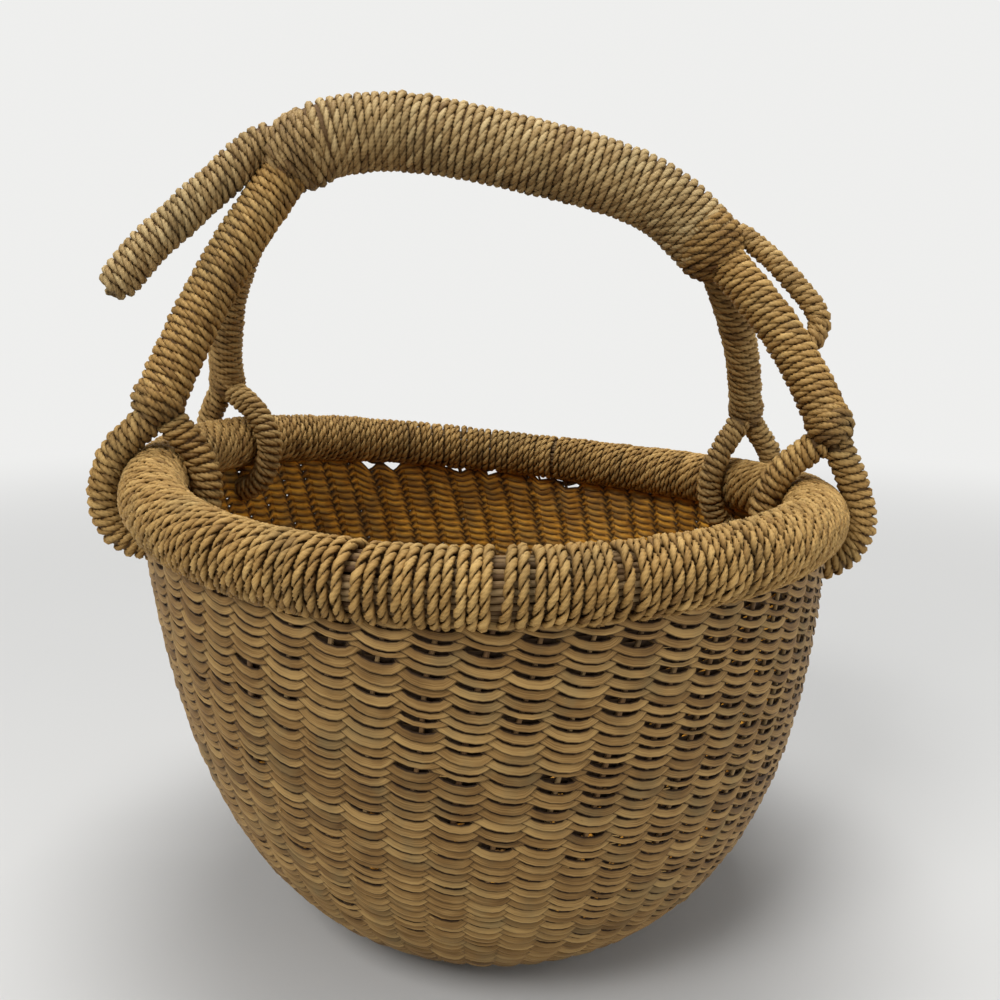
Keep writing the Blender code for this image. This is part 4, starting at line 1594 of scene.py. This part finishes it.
    def _build_leg(self, leg: Leg, start: Vector, finish: StrandFinish,
                   shop: Workshop) -> None:
        """Builds and dresses one leg with its fork and its foot.

        Args:
            leg: the leg.
            start: the middle of the binding that it leaves.
            finish: its cord's finish.
            shop: the workshop.
        """
        route = self.leg_route(leg, start)
        self._wind(shop, leg.name + "_leg", finish, Winding(
            Route(route, (0.0, -1.0, 0.0)), leg.leg_radius, pitch=self.leg_pitch))
        across = self.rim_frame(leg)[1].cross(Vector((0, 0, 1)))
        self._wind(shop, leg.name + "_foot", finish, Winding(
            Route(self.foot_route(leg), tuple(across)), leg.foot_radius))
        girth = leg.leg_radius + self.fork_margin
        wrap = EggWrap(self.fork_place(leg), Vector(route[-1] - route[-1 - self.fork_lookback]),
                       (self.fork_half_length, girth, girth))
        shop.dress(wrap.build(leg.name + "_fork_cord", shop), finish,
                   leg.name + "_fork_binding")


# Studio


@dataclass(frozen=True)
class Studio:
    """A pale floor that fades into a pale world, soft lamps and the photo's camera."""

    pale: Colour = (0.86, 0.86, 0.85)
    floor_colour: Colour = (0.70, 0.70, 0.69)
    floor_roughness: float = 0.9
    floor_start: float = 0.3
    floor_radius: float = 7.0
    floor_rings: int = 8
    floor_sides: int = 96
    fade_start: float = 0.35
    fade_end: float = 1.9
    world_light: float = 0.2
    focal_pixels: float = 965.6
    image_pixels: float = 1000.0
    sensor_mm: float = 36.0
    camera_place: Place = (0.0006, -0.5074, 0.3076)
    pitch_degrees: float = 10.82
    roll_degrees: float = 0.49
    clip_start: float = 0.01
    aim: Place = (0.0, 0.0, 0.2)
    # Each lamp's name, place, width and power in watts
    lamps: tuple[tuple[str, Place, float, float], ...] = (
        ("key_lamp", (-0.9, -1.45, 1.8), 0.8, 25.0),
        ("fill_lamp", (1.7, -1.2, 0.9), 1.5, 10.0),
        ("top_lamp", (0.0, 0.1, 2.4), 1.2, 35.0))

    def build(self) -> None:
        """Sets up the world, the floor, the lamps and the camera."""
        self._world()
        self._floor()
        self._lamps()
        self._camera()
        bpy.context.scene.view_settings.view_transform = "Standard"

    def _world(self) -> None:
        """Makes a plain world: pale to the camera, softer as light."""
        world = bpy.data.worlds.new("studio_world")
        bpy.context.scene.world = world
        world.use_nodes = True
        world.node_tree.nodes.clear()
        board = Board(world.node_tree)
        path = board.add("LightPath").outputs
        seen = board.math("MAXIMUM", path["Is Camera Ray"], path["Is Glossy Ray"])
        seen = board.math("MAXIMUM", seen, path["Is Transmission Ray"])
        backdrop = board.add("Background", {"Color": (*self.pale, 1), "Strength": 1.0})
        light = board.add("Background", {"Color": (1, 1, 1, 1), "Strength": self.world_light})
        mix = board.add("MixShader", {0: seen, 1: light.outputs[0], 2: backdrop.outputs[0]})
        board.add("OutputWorld", {"Surface": mix.outputs[0]})

    def _floor(self) -> None:
        """Makes the floor, which turns to the world's own colour far away."""
        sides = self.floor_sides
        radii = np.geomspace(self.floor_start, self.floor_radius, self.floor_rings)
        rings = swing(corners_of(sides), RIGHT, BACK) * radii[:, None, None]
        points = [(0.0, 0.0, 0.0), *rings.reshape(-1, 3).tolist()]
        faces = [(0, 1 + i, 1 + (i + 1) % sides) for i in range(sides)]
        for low, i in product(range(1, (self.floor_rings - 1) * sides, sides), range(sides)):
            high, after = low + sides, (i + 1) % sides
            faces.append((low + i, high + i, high + after, low + after))
        mesh = bpy.data.meshes.new("studio_floor")
        mesh.from_pydata(points, [], faces)
        floor = put_in_scene("studio_floor", mesh)
        paint = bpy.data.materials.new("floor_paint")
        paint.use_nodes = True
        board, nodes = Board(paint.node_tree), paint.node_tree.nodes
        shader = nodes["Principled BSDF"]
        board.feed(shader, {"Base Color": (*self.floor_colour, 1),
                            "Roughness": self.floor_roughness})
        where = board.add("TexCoord")
        far = board.add("VectorMath", {0: where.outputs["Object"]}, operation="LENGTH")
        fade = board.add("MapRange", {
            "Value": far.outputs["Value"], "From Min": self.fade_start,
            "From Max": self.fade_end}, interpolation_type="SMOOTHSTEP")
        glow = board.add("Emission", {"Color": (*self.pale, 1), "Strength": 1.0})
        mix = board.add("MixShader", {0: fade.outputs[0], 1: shader.outputs[0],
                                      2: glow.outputs[0]})
        board.feed(nodes["Material Output"], {"Surface": mix.outputs[0]})
        mesh.materials.append(paint)

    def _lamps(self) -> None:
        """Hangs soft square lamps that face the basket."""
        for name, place, size, power in self.lamps:
            light = bpy.data.lights.new(name, "AREA")
            light.shape = "SQUARE"
            light.size = size
            light.energy = power
            lamp = put_in_scene(name, light)
            lamp.location = place
            aim = Vector(self.aim) - Vector(place)
            lamp.rotation_euler = aim.to_track_quat("-Z", "Y").to_euler()

    def _camera(self) -> None:
        """Puts the camera where the photograph was taken from."""
        lens = bpy.data.cameras.new("photo_camera")
        lens.sensor_width = self.sensor_mm
        lens.sensor_fit = "HORIZONTAL"
        lens.lens = self.focal_pixels / self.image_pixels * self.sensor_mm
        lens.clip_start = self.clip_start
        pitch, roll = math.radians(self.pitch_degrees), math.radians(self.roll_degrees)
        forward = Vector((0, math.cos(pitch), -math.sin(pitch)))
        plain_up = Vector((0, math.sin(pitch), math.cos(pitch)))
        plain_right = Vector((1, 0, 0))
        right = plain_right * math.cos(roll) + plain_up * math.sin(roll)
        upward = plain_up * math.cos(roll) - plain_right * math.sin(roll)
        turn = Matrix((right, upward, -forward)).transposed().to_4x4()
        camera = put_in_scene("photo_camera", lens)
        camera.matrix_world = Matrix.Translation(Vector(self.camera_place)) @ turn
        bpy.context.scene.camera = camera


def main() -> None:
    """Builds the dressed basket and its studio."""
    logging.basicConfig(level=logging.INFO, format="%(name)s: %(message)s")
    finishes = Finishes()
    shop = Workshop(finishes, finishes.materials(SharedEffects()), np.random.default_rng(SEED))
    form = BowlForm()
    Bowl(form).build(shop)
    Rim(form).build(shop)
    Handle(form).build(shop)
    Studio().build()


if __name__ == "__main__":
    main()
